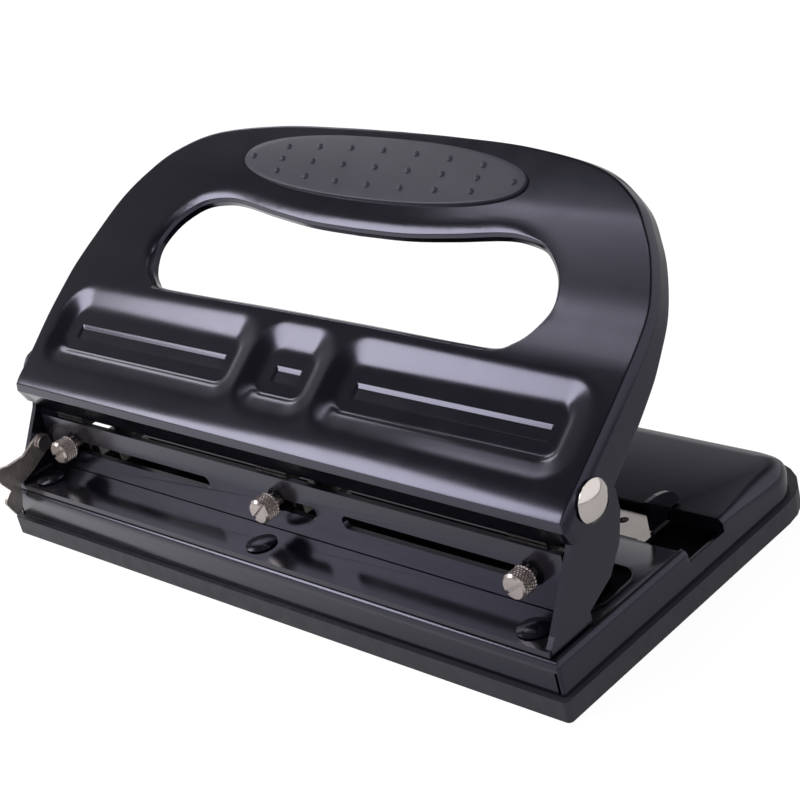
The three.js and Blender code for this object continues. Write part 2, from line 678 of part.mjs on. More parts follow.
function pinClip(x) {
  const bore = pinRadius + clearance;
  const ring = cut(solid(drum(clipRadius, clipZ, clipZ + clipThickness)),
    solid(drum(bore, clipZ - overrun, clipZ + clipThickness + overrun)));
  return ring.translate([x, pinY, 0]);
}

// Return spring: one unbroken wire wound round the pin
function springGeometry(x) {
  const low = guideTopZ + clearance + springWire;
  const high = clipZ - clearance - springWire;
  const steps = springCurls * 8;
  const sides = 5;
  const points = [];
  const ring = (centre, radial, axial) => Array.from({ length: sides }, (_, k) => {
    const turn = (k / sides) * 2 * Math.PI;
    return centre.clone().addScaledVector(radial, springWire * Math.cos(turn))
      .addScaledVector(axial, springWire * Math.sin(turn));
  });
  for (let i = 0; i <= steps; i += 1) {
    const turn = (i / 8) * 2 * Math.PI;
    const radial = new THREE.Vector3(Math.cos(turn), Math.sin(turn), 0);
    const centre = radial.clone().multiplyScalar(springRadius)
      .add(new THREE.Vector3(x, pinY, low + (high - low) * (i / steps)));
    points.push(...ring(centre, radial, new THREE.Vector3(0, 0, 1)));
  }
  const index = [];
  for (let i = 0; i < steps; i += 1) {
    for (let k = 0; k < sides; k += 1) {
      const a = i * sides + k;
      const b = i * sides + (k + 1) % sides;
      index.push(a, a + sides, b, b, a + sides, b + sides);
    }
  }
  for (let k = 1; k < sides - 1; k += 1) {
    index.push(0, k, k + 1, steps * sides, steps * sides + k + 1, steps * sides + k);
  }
  const geometry = new THREE.BufferGeometry().setFromPoints(points);
  geometry.setIndex(index);
  geometry.computeVertexNormals();
  return { geometry, points, sides, steps };
}

// The least gap between points of the wire that lie more than half a curl apart along it.
function leastSelfGap({ points, sides, steps }) {
  let least = Infinity;
  for (let i = 0; i <= steps; i += 1) {
    for (let j = i + 5; j <= steps; j += 1) {
      for (let k = 0; k < sides * sides; k += 1) {
        const a = points[i * sides + (k % sides)];
        const b = points[j * sides + Math.floor(k / sides)];
        least = Math.min(least, a.distanceTo(b));
      }
    }
  }
  return least;
}

// Thumbscrew: a knurled, slotted head, a neck and a shank through the rail's slot
function thumbScrew(x) {
  const teeth = Array.from({ length: knurlTeeth * 2 }, (_, i) => {
    const r = screwHeadRadius - (i % 2) * knurlDepth;
    const turn = (i / knurlTeeth) * Math.PI;
    return new THREE.Vector2(r * Math.cos(turn), r * Math.sin(turn));
  });
  const neckY = -clearance - screwNeck;
  const faceY = neckY - screwHeadLength;
  const c = screwChamfer;
  const blank = solid(turned([[0, faceY], [screwHeadRadius - c, faceY], [screwHeadRadius, faceY + c],
    [screwHeadRadius, neckY - c], [screwHeadRadius - c, neckY], [0, neckY]]).rotateX(-Math.PI / 2));
  const head = deep(teeth, faceY, neckY).intersect(blank);
  const neck = solid(drum(screwNeckRadius, neckY - c, -clearance).rotateX(-Math.PI / 2));
  const shank = solid(drum(screwRadius, neckY - c, webBackY + screwTail).rotateX(-Math.PI / 2));
  const slot = box(-screwSlot / 2, screwSlot / 2, faceY - overrun, faceY + screwSlot,
    -screwHeadRadius - overrun, screwHeadRadius + overrun);
  return cut(join(head, neck, shank), slot).translate([x, 0, screwZ]);
}

// Rivets
function frameRivet(x) {
  const foot = frameTopZ + clearance;
  const dome = solid(turned(domeProfile(frameRivetRadius, frameRivetDome)).translate(0, 0, foot));
  const tailTop = panTopZ - panSheet - clearance;
  const shank = solid(drum(frameRivetShank, tailTop - rivetTail / 2, foot + frameRivetDome / 2, 16));
  const tail = solid(drum(rivetTailRadius, tailTop - rivetTail, tailTop, 16));
  return join(dome, shank, tail).translate([x, frameRivetY, 0]);
}

function pivotRivet(side) {
  const foot = handleHalfWidth + clearance;
  const dome = solid(turned(domeProfile(pivotRivetRadius, pivotRivetDome, 5)).translate(0, 0, foot));
  const tailX = earInnerX - clearance;
  const shank = solid(drum(pivotRivetShank, tailX - rivetTail / 2, foot + pivotRivetDome / 2));
  const tail = solid(drum(rivetTailRadius, tailX - rivetTail, tailX));
  const turn = new THREE.Matrix4().makeRotationY(side * Math.PI / 2);
  const body = geometryOf(join(dome, shank, tail)).applyMatrix4(turn);
  return solid(body.translate(0, pivotY, pivotZ));
}

function leverRivet() {
  const innerX = -earInnerX + clearance + leverSheet + clearance;
  const outerX = -earOuterX - clearance / 2;
  const half = leverRivetCap / 2;
  return join(axle(leverRivetShank, outerX - half, innerX + half, leverPivotY, leverPivotZ),
    axle(leverRivetHead, innerX, innerX + leverRivetCap, leverPivotY, leverPivotZ),
    axle(leverRivetHead, outerX - leverRivetCap, outerX, leverPivotY, leverPivotZ));
}

// Lock lever beside the left ear
function lockLever() {
  const arc = Array.from({ length: 9 }, (_, i) => {
    const turn = Math.PI * (0.5 - i / 8);
    return [leverPivotY + leverEyeRadius * Math.cos(turn), leverPivotZ + leverEyeRadius * Math.sin(turn)];
  }).reverse();
  const armShares = [[0.03, 0.2], [0.4, -0.03], [0.72, -0.04], [0.86, -0.005], [0.97, -0.02], [1, -0.13],
    [0.94, -0.3], [0.83, -0.5], [0.95, -0.62], [0.985, -0.7], [0.93, -0.85], [0.87, -1], [0.77, -1],
    [0.7, -0.82], [0.645, -0.62], [0.62, -0.5], [0.5, -0.46], [0.3, -0.38], [0.1, -0.25]];
  const arm = armShares.map(([out, up]) => [leverPivotY - out * leverReach, leverPivotZ + up * leverHeight]);
  const lowX = -earInnerX + clearance;
  const plate = across([...arc, ...arm].map(vector), lowX, lowX + leverSheet);
  return cut(plate, axle(leverRivetShank + clearance, lowX - overrun, lowX + leverSheet + overrun,
    leverPivotY, leverPivotZ));
}

// Paper guide: a sliding strip in the channel and its upright tab
function guideStrip() {
  const lowZ = channelFloorZ + clearance;
  const r = clearance;
  const stripRearY = stripFrontY + stripWidth;
  const outline = roundRectangle(stripLeftX, stripRightX, stripFrontY, stripRearY, [r, r, r, r], 2);
  const hole = solid(drum(stripHoleRadius, lowZ - overrun, lowZ + stripSheet + overrun, 16)
    .translate(stripHoleX, stripFrontY + stripWidth * stripHoleShare, 0));
  return cut(upright(outline, lowZ, lowZ + stripSheet), hole);
}

function guideTab() {
  const footZ = channelFloorZ + 2 * clearance + stripSheet;
  const shoulderZ = panTopZ + tabShoulder;
  const roundY = tabRearY - tabFrontY - stripSheet;
  const roundZ = tabTopZ - shoulderZ - tabShoulder;
  const arc = Array.from({ length: 7 }, (_, i) => {
    const turn = (i / 6) * Math.PI / 2;
    return [tabRearY - roundY * (1 - Math.cos(turn)), tabTopZ - roundZ * (1 - Math.sin(turn))];
  });
  const stepY = stripFrontY + stripWidth;
  const outline = [[tabFrontY, footZ], [stepY, footZ], [stepY, shoulderZ], [tabRearY, shoulderZ], ...arc,
    [tabFrontY, tabTopZ]];
  const highX = stripRightX - tabInset;
  return across(outline.map(vector), highX - tabSheet, highX);
}

// The assembly
const group = new THREE.Group();

function place(name, body, material, parent = group) {
  const geometry = body.isBufferGeometry ? body : geometryOf(body);
  const mesh = new THREE.Mesh(geometry, material);
  mesh.name = name;
  parent.add(mesh);
  return mesh;
}

place('chip_tray', chipTray(), trayPlastic());
place('base_pan', basePan(), blackPaint());
place('punch_frame', punchFrame(), blackPaint());
place('rail_plate', railPlate(), blackPaint());

const handle = new THREE.Group();
handle.position.set(0, pivotY, pivotZ);
handle.rotation.x = leanTurn;
group.add(handle);
place('handle_shell', handleShell(), blackPaint(), handle);
place('grip_insert', gripInsert(), gripPlastic(), handle);

place('pivot_rivet_left', pivotRivet(-1), nickel());
place('pivot_rivet_right', pivotRivet(1), nickel());
['left', 'middle', 'right'].forEach((side, i) => {
  const x = (i - 1) * holeSpacing;
  place(`frame_rivet_${side}`, frameRivet(frameRivetPlaces()[i]), blackPaint());
  place(`punch_head_${side}`, punchHead(x), nickel());
  place(`die_bush_${side}`, dieBush(x), steel());
  place(`punch_pin_${side}`, punchPin(x), steel());
  place(`pin_clip_${side}`, pinClip(x), steel());
  const spring = springGeometry(x);
  place(`return_spring_${side}`, spring.geometry, steel());
  console.log(`return_spring_${side}: least gap to itself ${leastSelfGap(spring).toFixed(2)} mm`);
  place(`thumb_screw_${side}`, thumbScrew(x), nickel());
});
place('lever_rivet', leverRivet(), nickel());
place('lock_lever', lockLever(), nickel());
place('guide_strip', guideStrip(), nickel());
place('guide_tab', guideTab(), blackPaint());

// The origin goes to the middle of the underside.
const bounds = new THREE.Box3().setFromObject(group);
const centre = bounds.getCenter(new THREE.Vector3());
group.position.set(-centre.x, -centre.y, -bounds.min.z);
console.log(`moved by ${[-centre.x, -centre.y, -bounds.min.z].map((v) => v.toFixed(3)).join(', ')} mm`);

export default group;
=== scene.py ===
import math

import bmesh
import bpy
import numpy as np
from mathutils import Matrix, Quaternion, Vector
from mathutils.geometry import delaunay_2d_cdt
from mathutils.kdtree import KDTree


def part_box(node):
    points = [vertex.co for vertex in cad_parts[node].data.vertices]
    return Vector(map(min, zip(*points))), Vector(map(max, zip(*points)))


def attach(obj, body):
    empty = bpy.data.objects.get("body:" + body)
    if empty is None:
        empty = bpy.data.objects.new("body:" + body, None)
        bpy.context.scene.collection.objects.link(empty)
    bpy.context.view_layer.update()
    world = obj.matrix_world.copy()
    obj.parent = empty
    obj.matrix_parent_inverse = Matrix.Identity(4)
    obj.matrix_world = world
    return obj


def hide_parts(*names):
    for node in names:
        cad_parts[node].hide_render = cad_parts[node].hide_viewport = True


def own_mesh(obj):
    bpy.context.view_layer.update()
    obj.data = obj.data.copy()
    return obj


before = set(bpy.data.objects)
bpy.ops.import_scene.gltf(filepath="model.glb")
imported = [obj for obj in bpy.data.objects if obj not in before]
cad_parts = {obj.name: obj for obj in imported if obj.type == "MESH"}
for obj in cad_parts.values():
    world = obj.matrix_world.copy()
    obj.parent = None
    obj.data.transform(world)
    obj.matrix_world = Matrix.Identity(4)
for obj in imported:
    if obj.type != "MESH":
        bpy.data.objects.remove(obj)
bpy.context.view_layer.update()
mm = 0.001
print("frame loaded")


def placed(name, data):
    made = bpy.data.objects.new(name, data)
    bpy.context.scene.collection.objects.link(made)
    return made


# Camera, where the photograph was taken from
cameraView = {
    "position": (0.4468, -0.3610, 0.3161),
    "right": (0.7098, 0.6662, -0.2283),
    "up": (-0.1543, 0.4634, 0.8725),
    "lens": 86.67,
}


def makeCamera():
    data = bpy.data.cameras.new("photoCamera")
    data.lens = cameraView["lens"]
    data.sensor_width = 36
    data.clip_start, data.clip_end = 0.01, 20
    camera = placed("photoCamera", data)
    right = Vector(cameraView["right"]).normalized()
    back = right.cross(Vector(cameraView["up"])).normalized()
    up = back.cross(right)
    turn = Matrix((right, up, back)).transposed().to_4x4()
    camera.matrix_world = Matrix.Translation(cameraView["position"]) @ turn
    bpy.context.scene.camera = camera


makeCamera()
print("camera placed")


# Materials. Every finish works in the object's own coordinates, in metres.
class Finish:
    def __init__(self, name, roughness, metallic=0.0, ior=1.5):
        self.material = bpy.data.materials.new(name)
        self.material.use_nodes = True
        self.tree = self.material.node_tree
        self.shader = self.tree.nodes["Principled BSDF"]
        self.shader.inputs["Metallic"].default_value = metallic
        self.shader.inputs["Roughness"].default_value = roughness
        self.shader.inputs["IOR"].default_value = ior
        self.place = self.tree.nodes.new("ShaderNodeTexCoord").outputs["Object"]
        self.height = None

    def node(self, kind, **values):
        made = self.tree.nodes.new(kind)
        for key, value in values.items():
            if key in made.inputs:
                made.inputs[key].default_value = value
            else:
                setattr(made, key, value)
        return made

    def link(self, out, into):
        self.tree.links.new(out, into)

    def noise(self, size, detail=3.0, stretch=None):
        # size of a grain in metres
        source = self.place
        if stretch:
            mapping = self.node("ShaderNodeMapping")
            mapping.inputs["Scale"].default_value = stretch
            self.link(source, mapping.inputs["Vector"])
            source = mapping.outputs["Vector"]
        made = self.node("ShaderNodeTexNoise", Scale=1 / size, Detail=detail)
        self.link(source, made.inputs["Vector"])
        return made.outputs["Fac"]

    def spread(self, value, low, high, fromLow=0.3, fromHigh=0.7):
        made = self.node("ShaderNodeMapRange")
        for key, number in (("From Min", fromLow), ("From Max", fromHigh), ("To Min", low), ("To Max", high)):
            made.inputs[key].default_value = number
        self.link(value, made.inputs["Value"])
        return made.outputs["Result"]

    def colour(self, value, low, high):
        made = self.node("ShaderNodeMix", data_type="RGBA")
        self.link(value, made.inputs["Factor"])
        for socket in made.inputs:
            if socket.type == "RGBA":
                socket.default_value = (*(low if socket.name == "A" else high), 1)
        mixed = next(s for s in made.outputs if s.type == "RGBA")
        self.link(mixed, self.shader.inputs["Base Color"])

    def roughness(self, value, low, high):
        self.link(self.spread(value, low, high), self.shader.inputs["Roughness"])

    def bump(self, value, depth, strength):
        made = self.node("ShaderNodeBump", Strength=strength, Distance=depth)
        self.link(value, made.inputs["Height"])
        if self.height:
            self.link(self.height, made.inputs["Normal"])
        self.height = made.outputs["Normal"]
        self.link(self.height, self.shader.inputs["Normal"])


def blackPaint():
    paint = Finish("glossBlackPaint", 0.17, ior=1.6)
    paint.shader.inputs["Specular Tint"].default_value = (0.76, 0.74, 1.0, 1)
    paint.colour(paint.noise(0.02), (0.0028, 0.0028, 0.0046), (0.0042, 0.0042, 0.0068))
    paint.roughness(paint.noise(0.012, 3), 0.155, 0.185)
    paint.bump(paint.noise(0.0007, 2), 0.000004, 1.0)  # orange peel of sprayed paint
    return paint.material


def trayPlastic():
    plastic = Finish("charcoalTray", 0.55, ior=1.46)
    plastic.colour(plastic.noise(0.03, 4), (0.018, 0.0172, 0.026), (0.027, 0.026, 0.037))
    plastic.roughness(plastic.noise(0.004, 4), 0.48, 0.62)
    plastic.bump(plastic.noise(0.0007, 3), 0.00005, 0.6)
    return plastic.material


def gripPlastic():
    plastic = Finish("greyGrip", 0.5, ior=1.46)
    plastic.colour(plastic.noise(0.01, 5), (0.031, 0.029, 0.045), (0.047, 0.0445, 0.066))
    plastic.roughness(plastic.noise(0.002, 4), 0.34, 0.42)
    plastic.bump(plastic.noise(0.0005, 4), 0.00003, 0.7)
    return plastic.material


def nickelPlate():
    plate = Finish("nickelPlate", 0.16, metallic=1.0)
    plate.colour(plate.noise(0.008, 4), (0.66, 0.60, 0.575), (0.78, 0.72, 0.70))
    plate.roughness(plate.noise(0.003, 5), 0.1, 0.22)
    plate.bump(plate.noise(0.0009, 3), 0.000015, 0.5)
    return plate.material


def shadeDarkNickel():
    # the heads' plating, brownish, and painted far darker than nickel as painted shade for the heads lying in
    # shade under the handle
    plate = Finish("shadeDarkNickel", 0.3, metallic=1.0)
    plate.colour(plate.noise(0.005, 5), (0.045, 0.04, 0.036), (0.09, 0.08, 0.072))
    plate.roughness(plate.noise(0.002, 5), 0.22, 0.42)
    plate.bump(plate.noise(0.0006, 4), 0.00003, 0.6)
    return plate.material


def brownedNickel():
    # the lever's and the screws' plating, burnished by use
    plate = Finish("brownedNickel", 0.25, metallic=0.8)
    plate.colour(plate.noise(0.004, 5), (0.36, 0.31, 0.295), (0.56, 0.50, 0.48))
    plate.roughness(plate.noise(0.004, 4), 0.2, 0.3)
    plate.bump(plate.noise(0.0006, 3), 0.000003, 0.5)
    return plate.material


def shadeDarkSteel():
    # steel painted near black as painted shade, for the parts that sit in shade inside the handle and the base
    steel = Finish("shadeDarkSteel", 0.3, metallic=1.0)
    steel.colour(steel.noise(0.004, 4), (0.07, 0.065, 0.06), (0.13, 0.12, 0.11))
    steel.roughness(steel.noise(0.0008, 3, (1, 1, 6)), 0.22, 0.4)
    steel.bump(steel.noise(0.0004, 2, (1, 1, 8)), 0.00001, 0.6)
    return steel.material


finishes = {
    "black_paint": blackPaint(),
    "tray_plastic": trayPlastic(),
    "grip_plastic": gripPlastic(),
    "nickel": nickelPlate(),
    "shade_dark_nickel": shadeDarkNickel(),
    "browned_nickel": brownedNickel(),
    "shade_dark_steel": shadeDarkSteel(),
}
print("materials made")


def addPiece(name, mesh, body, slotName, replaced=(), sharpAngle=35):
    piece = placed(name, mesh)
    mesh.materials.clear()
    mesh.materials.append(finishes[slotName])
    smooth(mesh, sharpAngle)
    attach(piece, body)
    if replaced:
        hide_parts(*replaced)
    return piece


def smooth(mesh, sharpAngle):
    mesh.shade_smooth()
    mesh.set_sharp_from_angle(angle=math.radians(sharpAngle))


def meshFrom(name, points, faces, matrix=None):
    mesh = bpy.data.meshes.new(name)
    mesh.from_pydata([tuple(p) for p in points], [], faces)
    if matrix:
        mesh.transform(matrix)
    mesh.validate()
    return mesh


def welded(mesh, distance=1e-6):
    work = bmesh.new()
    work.from_mesh(mesh)
    bmesh.ops.remove_doubles(work, verts=work.verts, dist=distance)
    bmesh.ops.recalc_face_normals(work, faces=work.faces)
    work.to_mesh(mesh)
    work.free()
    return mesh


def ease(share):
    share = min(1.0, max(0.0, share))
    return share ** 3 * (share * (share * 6 - 15) + 10)


def between(stops, at):
    # straight lines through (place, value) stops
    if at <= stops[0][0]:
        return stops[0][1]
    for (a, low), (b, high) in zip(stops, stops[1:]):
        if at <= b:
            return low + (high - low) * (at - a) / (b - a)
    return stops[-1][1]


def splineThrough(points, count):
    # evenly spaced points on a Catmull-Rom curve
    padded = [points[0] * 2 - points[1], *points, points[-1] * 2 - points[-2]]
    fine = []
    for p0, p1, p2, p3 in zip(padded, padded[1:], padded[2:], padded[3:]):
        for k in range(24):
            t = k / 24
            fine.append(0.5 * (2 * p1 + (p2 - p0) * t + (2 * p0 - 5 * p1 + 4 * p2 - p3) * t * t
                               + (3 * p1 - 3 * p2 + p3 - p0) * t ** 3))
    fine.append(points[-1])
    lengths = [0.0]
    for a, b in zip(fine, fine[1:]):
        lengths.append(lengths[-1] + (b - a).length)
    spaced, k = [], 0
    for i in range(count):
        want = lengths[-1] * i / (count - 1)
        while k < len(fine) - 2 and lengths[k + 1] < want:
            k += 1
        share = (want - lengths[k]) / max(1e-12, lengths[k + 1] - lengths[k])
        spaced.append(fine[k].lerp(fine[k + 1], share))
    return spaced


def ringFaces(rows, columns, closed=True, first=0):
    faces = []
    for j in range(rows - 1):
        for i in range(columns if closed else columns - 1):
            a, b = first + j * columns + i, first + j * columns + (i + 1) % columns
            faces.append((a, b, b + columns, a + columns))
    return faces


def lathe(profile, sides):
    # profile of (radius, height) from axis to axis, turned round Z
    points = []
    for r, z in profile[1:-1]:
        for i in range(sides):
            turn = 2 * math.pi * i / sides
            points.append((r * math.cos(turn), r * math.sin(turn), z))
    rows = len(profile) - 2
    faces = ringFaces(rows, sides)
    low, high = len(points), len(points) + 1
    points += [(0, 0, profile[0][1]), (0, 0, profile[-1][1])]
    for i in range(sides):
        j = (i + 1) % sides
        faces.append((j, i, low))
        faces.append(((rows - 1) * sides + i, (rows - 1) * sides + j, high))
    return points, faces


# Handle, drawn flat as the CAD has it: X across, s up the face from the lip, depth into the face
handleSizes = {
    "pivot": (0.0, -33.7, 54.8),
    "lean": 55.1,
    "pivotUp": 10.8,
    "pivotDepth": 6.9,
    "halfWidth": 128.7,
    "lowEdge": -1.72,
    "margin": 0.5,
    "sheet": 1.5,
    "side": [(128.7, 2.4), (128.9, 14), (129, 40.3), (128.2, 55.4), (126, 67.9), (120.6, 80.6),
             (114.2, 90.6), (104.2, 101.3), (86.8, 110.3), (57, 115.2), (26, 116.6), (0, 116.9)],
    "leftSpread": 0.012,
    "flange": [(2.4, 12.2), (4.5, 13.0), (7, 13.4), (20, 13.1), (37, 12.3), (50, 11.3), (60.5, 9.7),
               (74.6, 8.6), (91, 7.5), (120, 7.4)],
    "lipDepth": 12.4,
    "lipEarDepth": 8.0,
    "lipEarX": 122.8,
    "lipReach": 0.98,
    "lipTurn": [(0, 11.8), (0.3, 10.5), (0.5, 8.6), (1, 8.0)],  # flange depth round the lip's corner
    "window": [(0, 78.4), (22, 78.9), (42, 80.9), (60, 83.3), (70, 83.1), (79.5, 80.5), (87, 74), (90.5, 67),
               (91, 61), (88, 54), (84, 50), (78, 47.3), (60, 47), (30, 47.3), (0, 47.4)],
    "windowDepth": 4.6,
    "patch": (-125.6, 125.6, 6.9, 46.2),
}
# counts and distances of the handle's mesh
handleMesh = {
    "sidePoints": 190,
    "cornerSteps": 10,
    "lipSteps": 84,
    "windowPoints": 150,
    "patchPitch": (0.9, 0.5),
    "creaseHalf": 0.14,
    "creaseGap": 0.2,
    "facePitch": 1.7,
    "lowPitch": 0.7,
    "lowStretch": 1.4,
    "faceReach": (127, 117),
    "clear": 0.55,
}
# depth of the face outside its pockets
faceShapes = {
    "curl": (5.5, 3.5),  # how far up the lip's curl goes on the left, and how much more on the right
    "curlOver": (-60, 160),
    "curlDepth": 0.11,
    "pockets": (6, 47),
    "rollFrom": 50,
    "rollHalf": 104,
    "rollReach": 5,
    "rollSlope": 0.045,
    "rollRise": 13,
    "rollFade": (0.85, 50, 36),
}
# rolled edges: tilt where the face ends, facet tilts and length, radius of the two bends
edgeShapes = {
    "rim": {"start": 2, "facet": (64, 70), "length": 2.8, "bends": (0.6, 0.8), "end": 90},
    "lip": {"start": 22, "facet": (45, 50), "length": 2.5, "bends": (0.45, 0.8), "end": 84},
    "window": {"start": 20, "facet": (50, 58), "length": 1.5, "bends": (0.5, 0.7), "end": 90},
}
pocketSizes = {
    "basin": 2.0,
    "landLow": 22.7,
    "landHigh": 28.1,
    "step": 0.42,
    "fall": 0.03,
    "chamfers": {"top": 1.4, "left": 1.0, "right": 0.5, "low": 0.3},
    "reach": {"side": 13.5, "up": 15.0, "down": 13.0},
    "squareness": 2.3,
    # depth by share of the reach: a soft slope above and to the left, a rim and a slope below and to the right
    "soft": [(0, 1), (0.38, 0.98), (0.46, 0.93), (0.93, 0.06), (1.02, 0), (1.3, 0)],
    "rimmed": [(0, 1), (0.3, 0.96), (0.36, 0.93), (0.39, 0.86), (0.43, 0.7), (0.47, 0.58), (0.52, 0.5),
               (0.62, 0.38), (0.74, 0.24), (0.86, 0.11), (0.95, 0.04), (1.08, 0.01), (1.2, 0), (1.3, 0)],
    "lands": [(-109.7, -30.8), (-6.0, 6.0), (30.8, 109.7)],
}
# slope of the face down towards the window, by s
valleySlopes = [(46, 0), (49, -0.05), (60, -0.06), (66, -0.012), (71, 0.03), (90, 0.041), (93, 0.034), (95, 0),
                (120, 0)]


def handleMatrix():
    x, y, z = handleSizes["pivot"]
    turn = Matrix.Rotation(math.radians(90 - handleSizes["lean"]), 4, "X")
    return Matrix.Translation((x * mm, y * mm, z * mm)) @ turn @ Matrix.Scale(mm, 4)


def onHandle(x, s, depth):
    return Vector((x, s - handleSizes["pivotUp"], handleSizes["pivotDepth"] - depth))


def softCurve(stops, reach, pitch):
    # table of the straight-line curve with its corners rounded over a reach
    low, high = stops[0][0], stops[-1][0]
    places = np.arange(low, high + pitch, pitch)
    values = np.interp(places, [a for a, b in stops], [b for a, b in stops])
    half = max(1, round(reach / pitch))
    window = np.ones(2 * half + 1) / (2 * half + 1)
    for _ in range(2):
        values = np.convolve(np.pad(values, half, mode="edge"), window, mode="valid")
    return places, values


def valleyTable():
    places, slopes = softCurve(valleySlopes, 0.8, 0.1)
    depths = -np.cumsum(slopes[::-1])[::-1] * 0.1
    return places, -(depths - depths[-1])


windowOutline = splineThrough([Vector(p) for p in handleSizes["window"]], handleMesh["windowPoints"])
windowOutline += [Vector((-p.x, p.y)) for p in reversed(windowOutline[1:-1])]
windowTree = KDTree(len(windowOutline))
for index, point in enumerate(windowOutline):
    windowTree.insert((point.x, point.y, 0), index)
windowTree.balance()
softTable = softCurve(pocketSizes["soft"], 0.075, 0.005)
rimmedTable = softCurve(pocketSizes["rimmed"], 0.02, 0.005)
valley = valleyTable()


def pocketDepth(x, s):
    size = pocketSizes
    deepest = 0.0
    for low, high in size["lands"]:
        reach, power = size["reach"], size["squareness"]
        aside = (max(x - high, 0) - max(low - x, 0)) / reach["side"]
        away = max(s - size["landHigh"], 0) / reach["up"] - max(size["landLow"] - s, 0) / reach["down"]
        out = (abs(aside) ** power + abs(away) ** power) ** (1 / power)
        if out >= 1.25:
            continue
        rimmed = ease(0.5 + 0.6 * (aside - away) / max(1e-6, abs(aside) + abs(away)))
        share = float(np.interp(out, *rimmedTable)) * rimmed + float(np.interp(out, *softTable)) * (1 - rimmed)
        depth = size["basin"] * share
        if out == 0:
            cut = size["chamfers"]
            inside = min(1, (x - low) / cut["left"], (high - x) / cut["right"],
                         (size["landHigh"] - s) / cut["top"], (s - size["landLow"]) / cut["low"])
            depth += (size["step"] + size["fall"] * (size["landHigh"] - s)) * max(0, inside)
        deepest = max(deepest, depth)
    return deepest


def faceDepth(x, s):
    # how far the drawn face lies behind its flat plane
    shape = faceShapes
    depth = float(np.interp(s, *valley))
    start, over = shape["curlOver"]
    curl = shape["curl"][0] + shape["curl"][1] * ease((x - start) / over)
    if s < curl:
        depth += shape["curlDepth"] / curl ** 2 * (curl - s) ** 3
    if shape["pockets"][0] < s < shape["pockets"][1]:
        depth += pocketDepth(x, s)
    if s > shape["rollFrom"] and abs(x) < shape["rollHalf"]:
        away = windowTree.find((x, s, 0))[2]
        if away < shape["rollReach"]:
            fade, start, over = shape["rollFade"]
            weight = ease((s - shape["rollFrom"]) / shape["rollRise"]) * (1 - fade * ease((x - start) / over))
            depth += weight * shape["rollSlope"] * (shape["rollReach"] - away) ** 2
    return depth


def edgeProfile(shape):
    # outward reach and depth of a rolled edge, row by row from the face to the flange
    rows = [(0.0, 0.0)]

    def bend(radius, low, high, steps):
        for k in range(steps):
            a, b = (math.radians(low + (high - low) * n / steps) for n in (k, k + 1))
            out, depth = rows[-1]
            rows.append((out + radius * (math.sin(b) - math.sin(a)),
                         depth + radius * (math.cos(a) - math.cos(b))))

    first, last = shape["facet"]
    bend(shape["bends"][0], shape["start"], first, 4)
    done = 0.0
    for share in (0.06, 0.35, 0.65, 0.94, 1.0):
        tilt = math.radians(first + (last - first) * (share + done) / 2)
        out, depth = rows[-1]
        piece = shape["length"] * (share - done)
        rows.append((out + piece * math.cos(tilt), depth + piece * math.sin(tilt)))
        done = share
    bend(shape["bends"][1], last, shape["end"], 3)
    return rows


def blended(one, two, share):
    return [(a[0] + (b[0] - a[0]) * share, a[1] + (b[1] - a[1]) * share) for a, b in zip(one, two)]


def outerColumns():
    # the face's border: start of the edge, outward direction, direction of the margin, edge rows, depth, lean
    size = handleSizes
    rim, lip = edgeProfile(edgeShapes["rim"]), edgeProfile(edgeShapes["lip"])
    flange = softCurve(size["flange"], 1.5, 0.25)
    columns = []
    side = splineThrough([Vector(p) for p in size["side"]], handleMesh["sidePoints"])
    for i, point in enumerate(side):
        along = (side[min(i + 1, len(side) - 1)] - side[max(i - 1, 0)]).normalized()
        out = Vector((along.y, -along.x))
        if i == 0:
            out = Vector((1, 0))
        if i == len(side) - 1:
            out = Vector((0, 1))
        columns.append((point - out * rim[-1][0], out, out, rim, float(np.interp(point.y, *flange)), 0.0))
    corner = Vector((size["halfWidth"] - rim[-1][0], size["lowEdge"] + lip[-1][0]))
    turned = []
    steps = handleMesh["cornerSteps"]
    for k in range(1, steps + 1):
        turn = -math.pi / 2 * k / steps
        out = Vector((math.cos(turn), math.sin(turn)))
        depth = between(size["lipTurn"], k / steps)
        turned.append((corner, out, Vector((1, -1)), blended(rim, lip, ease(k / steps)), depth,
                       size["lipReach"] * k / steps))
    bottom = []
    steps = handleMesh["lipSteps"]
    for k in range(1, steps):
        x = corner.x * (1 - k / steps)
        depth = size["lipEarDepth"] if x > size["lipEarX"] else size["lipDepth"]
        bottom.append((Vector((x, corner.y)), Vector((0, -1)), Vector((0, -1)), lip, depth, size["lipReach"]))
    half = [*reversed(bottom), *reversed(turned), *columns]  # from the lip's middle, right and up to the top

    def flip(v):
        return Vector((-v.x, v.y))

    def spread(v):
        wider = 1 + size["leftSpread"] * (ease((v.y - 5) / 30) + ease((v.y - 60) / 25))
        return Vector((-v.x * wider, v.y))

    other = [(spread(p), flip(o), flip(m), e, d, r) for p, o, m, e, d, r in reversed(half[:-1])]
    middle = (Vector((0, corner.y)), Vector((0, -1)), Vector((0, -1)), lip, size["lipDepth"], size["lipReach"])
    return [middle, *half, *other]


def windowColumns():
    edge = edgeProfile(edgeShapes["window"])
    columns = []
    for i, point in enumerate(windowOutline):
        along = (windowOutline[(i + 1) % len(windowOutline)] - windowOutline[i - 1]).normalized()
        out = Vector((-along.y, along.x))  # away from the window, into the sheet
        columns.append((point + out * edge[-1][0], -out, -out, edge, handleSizes["windowDepth"], 0.0))
    return columns


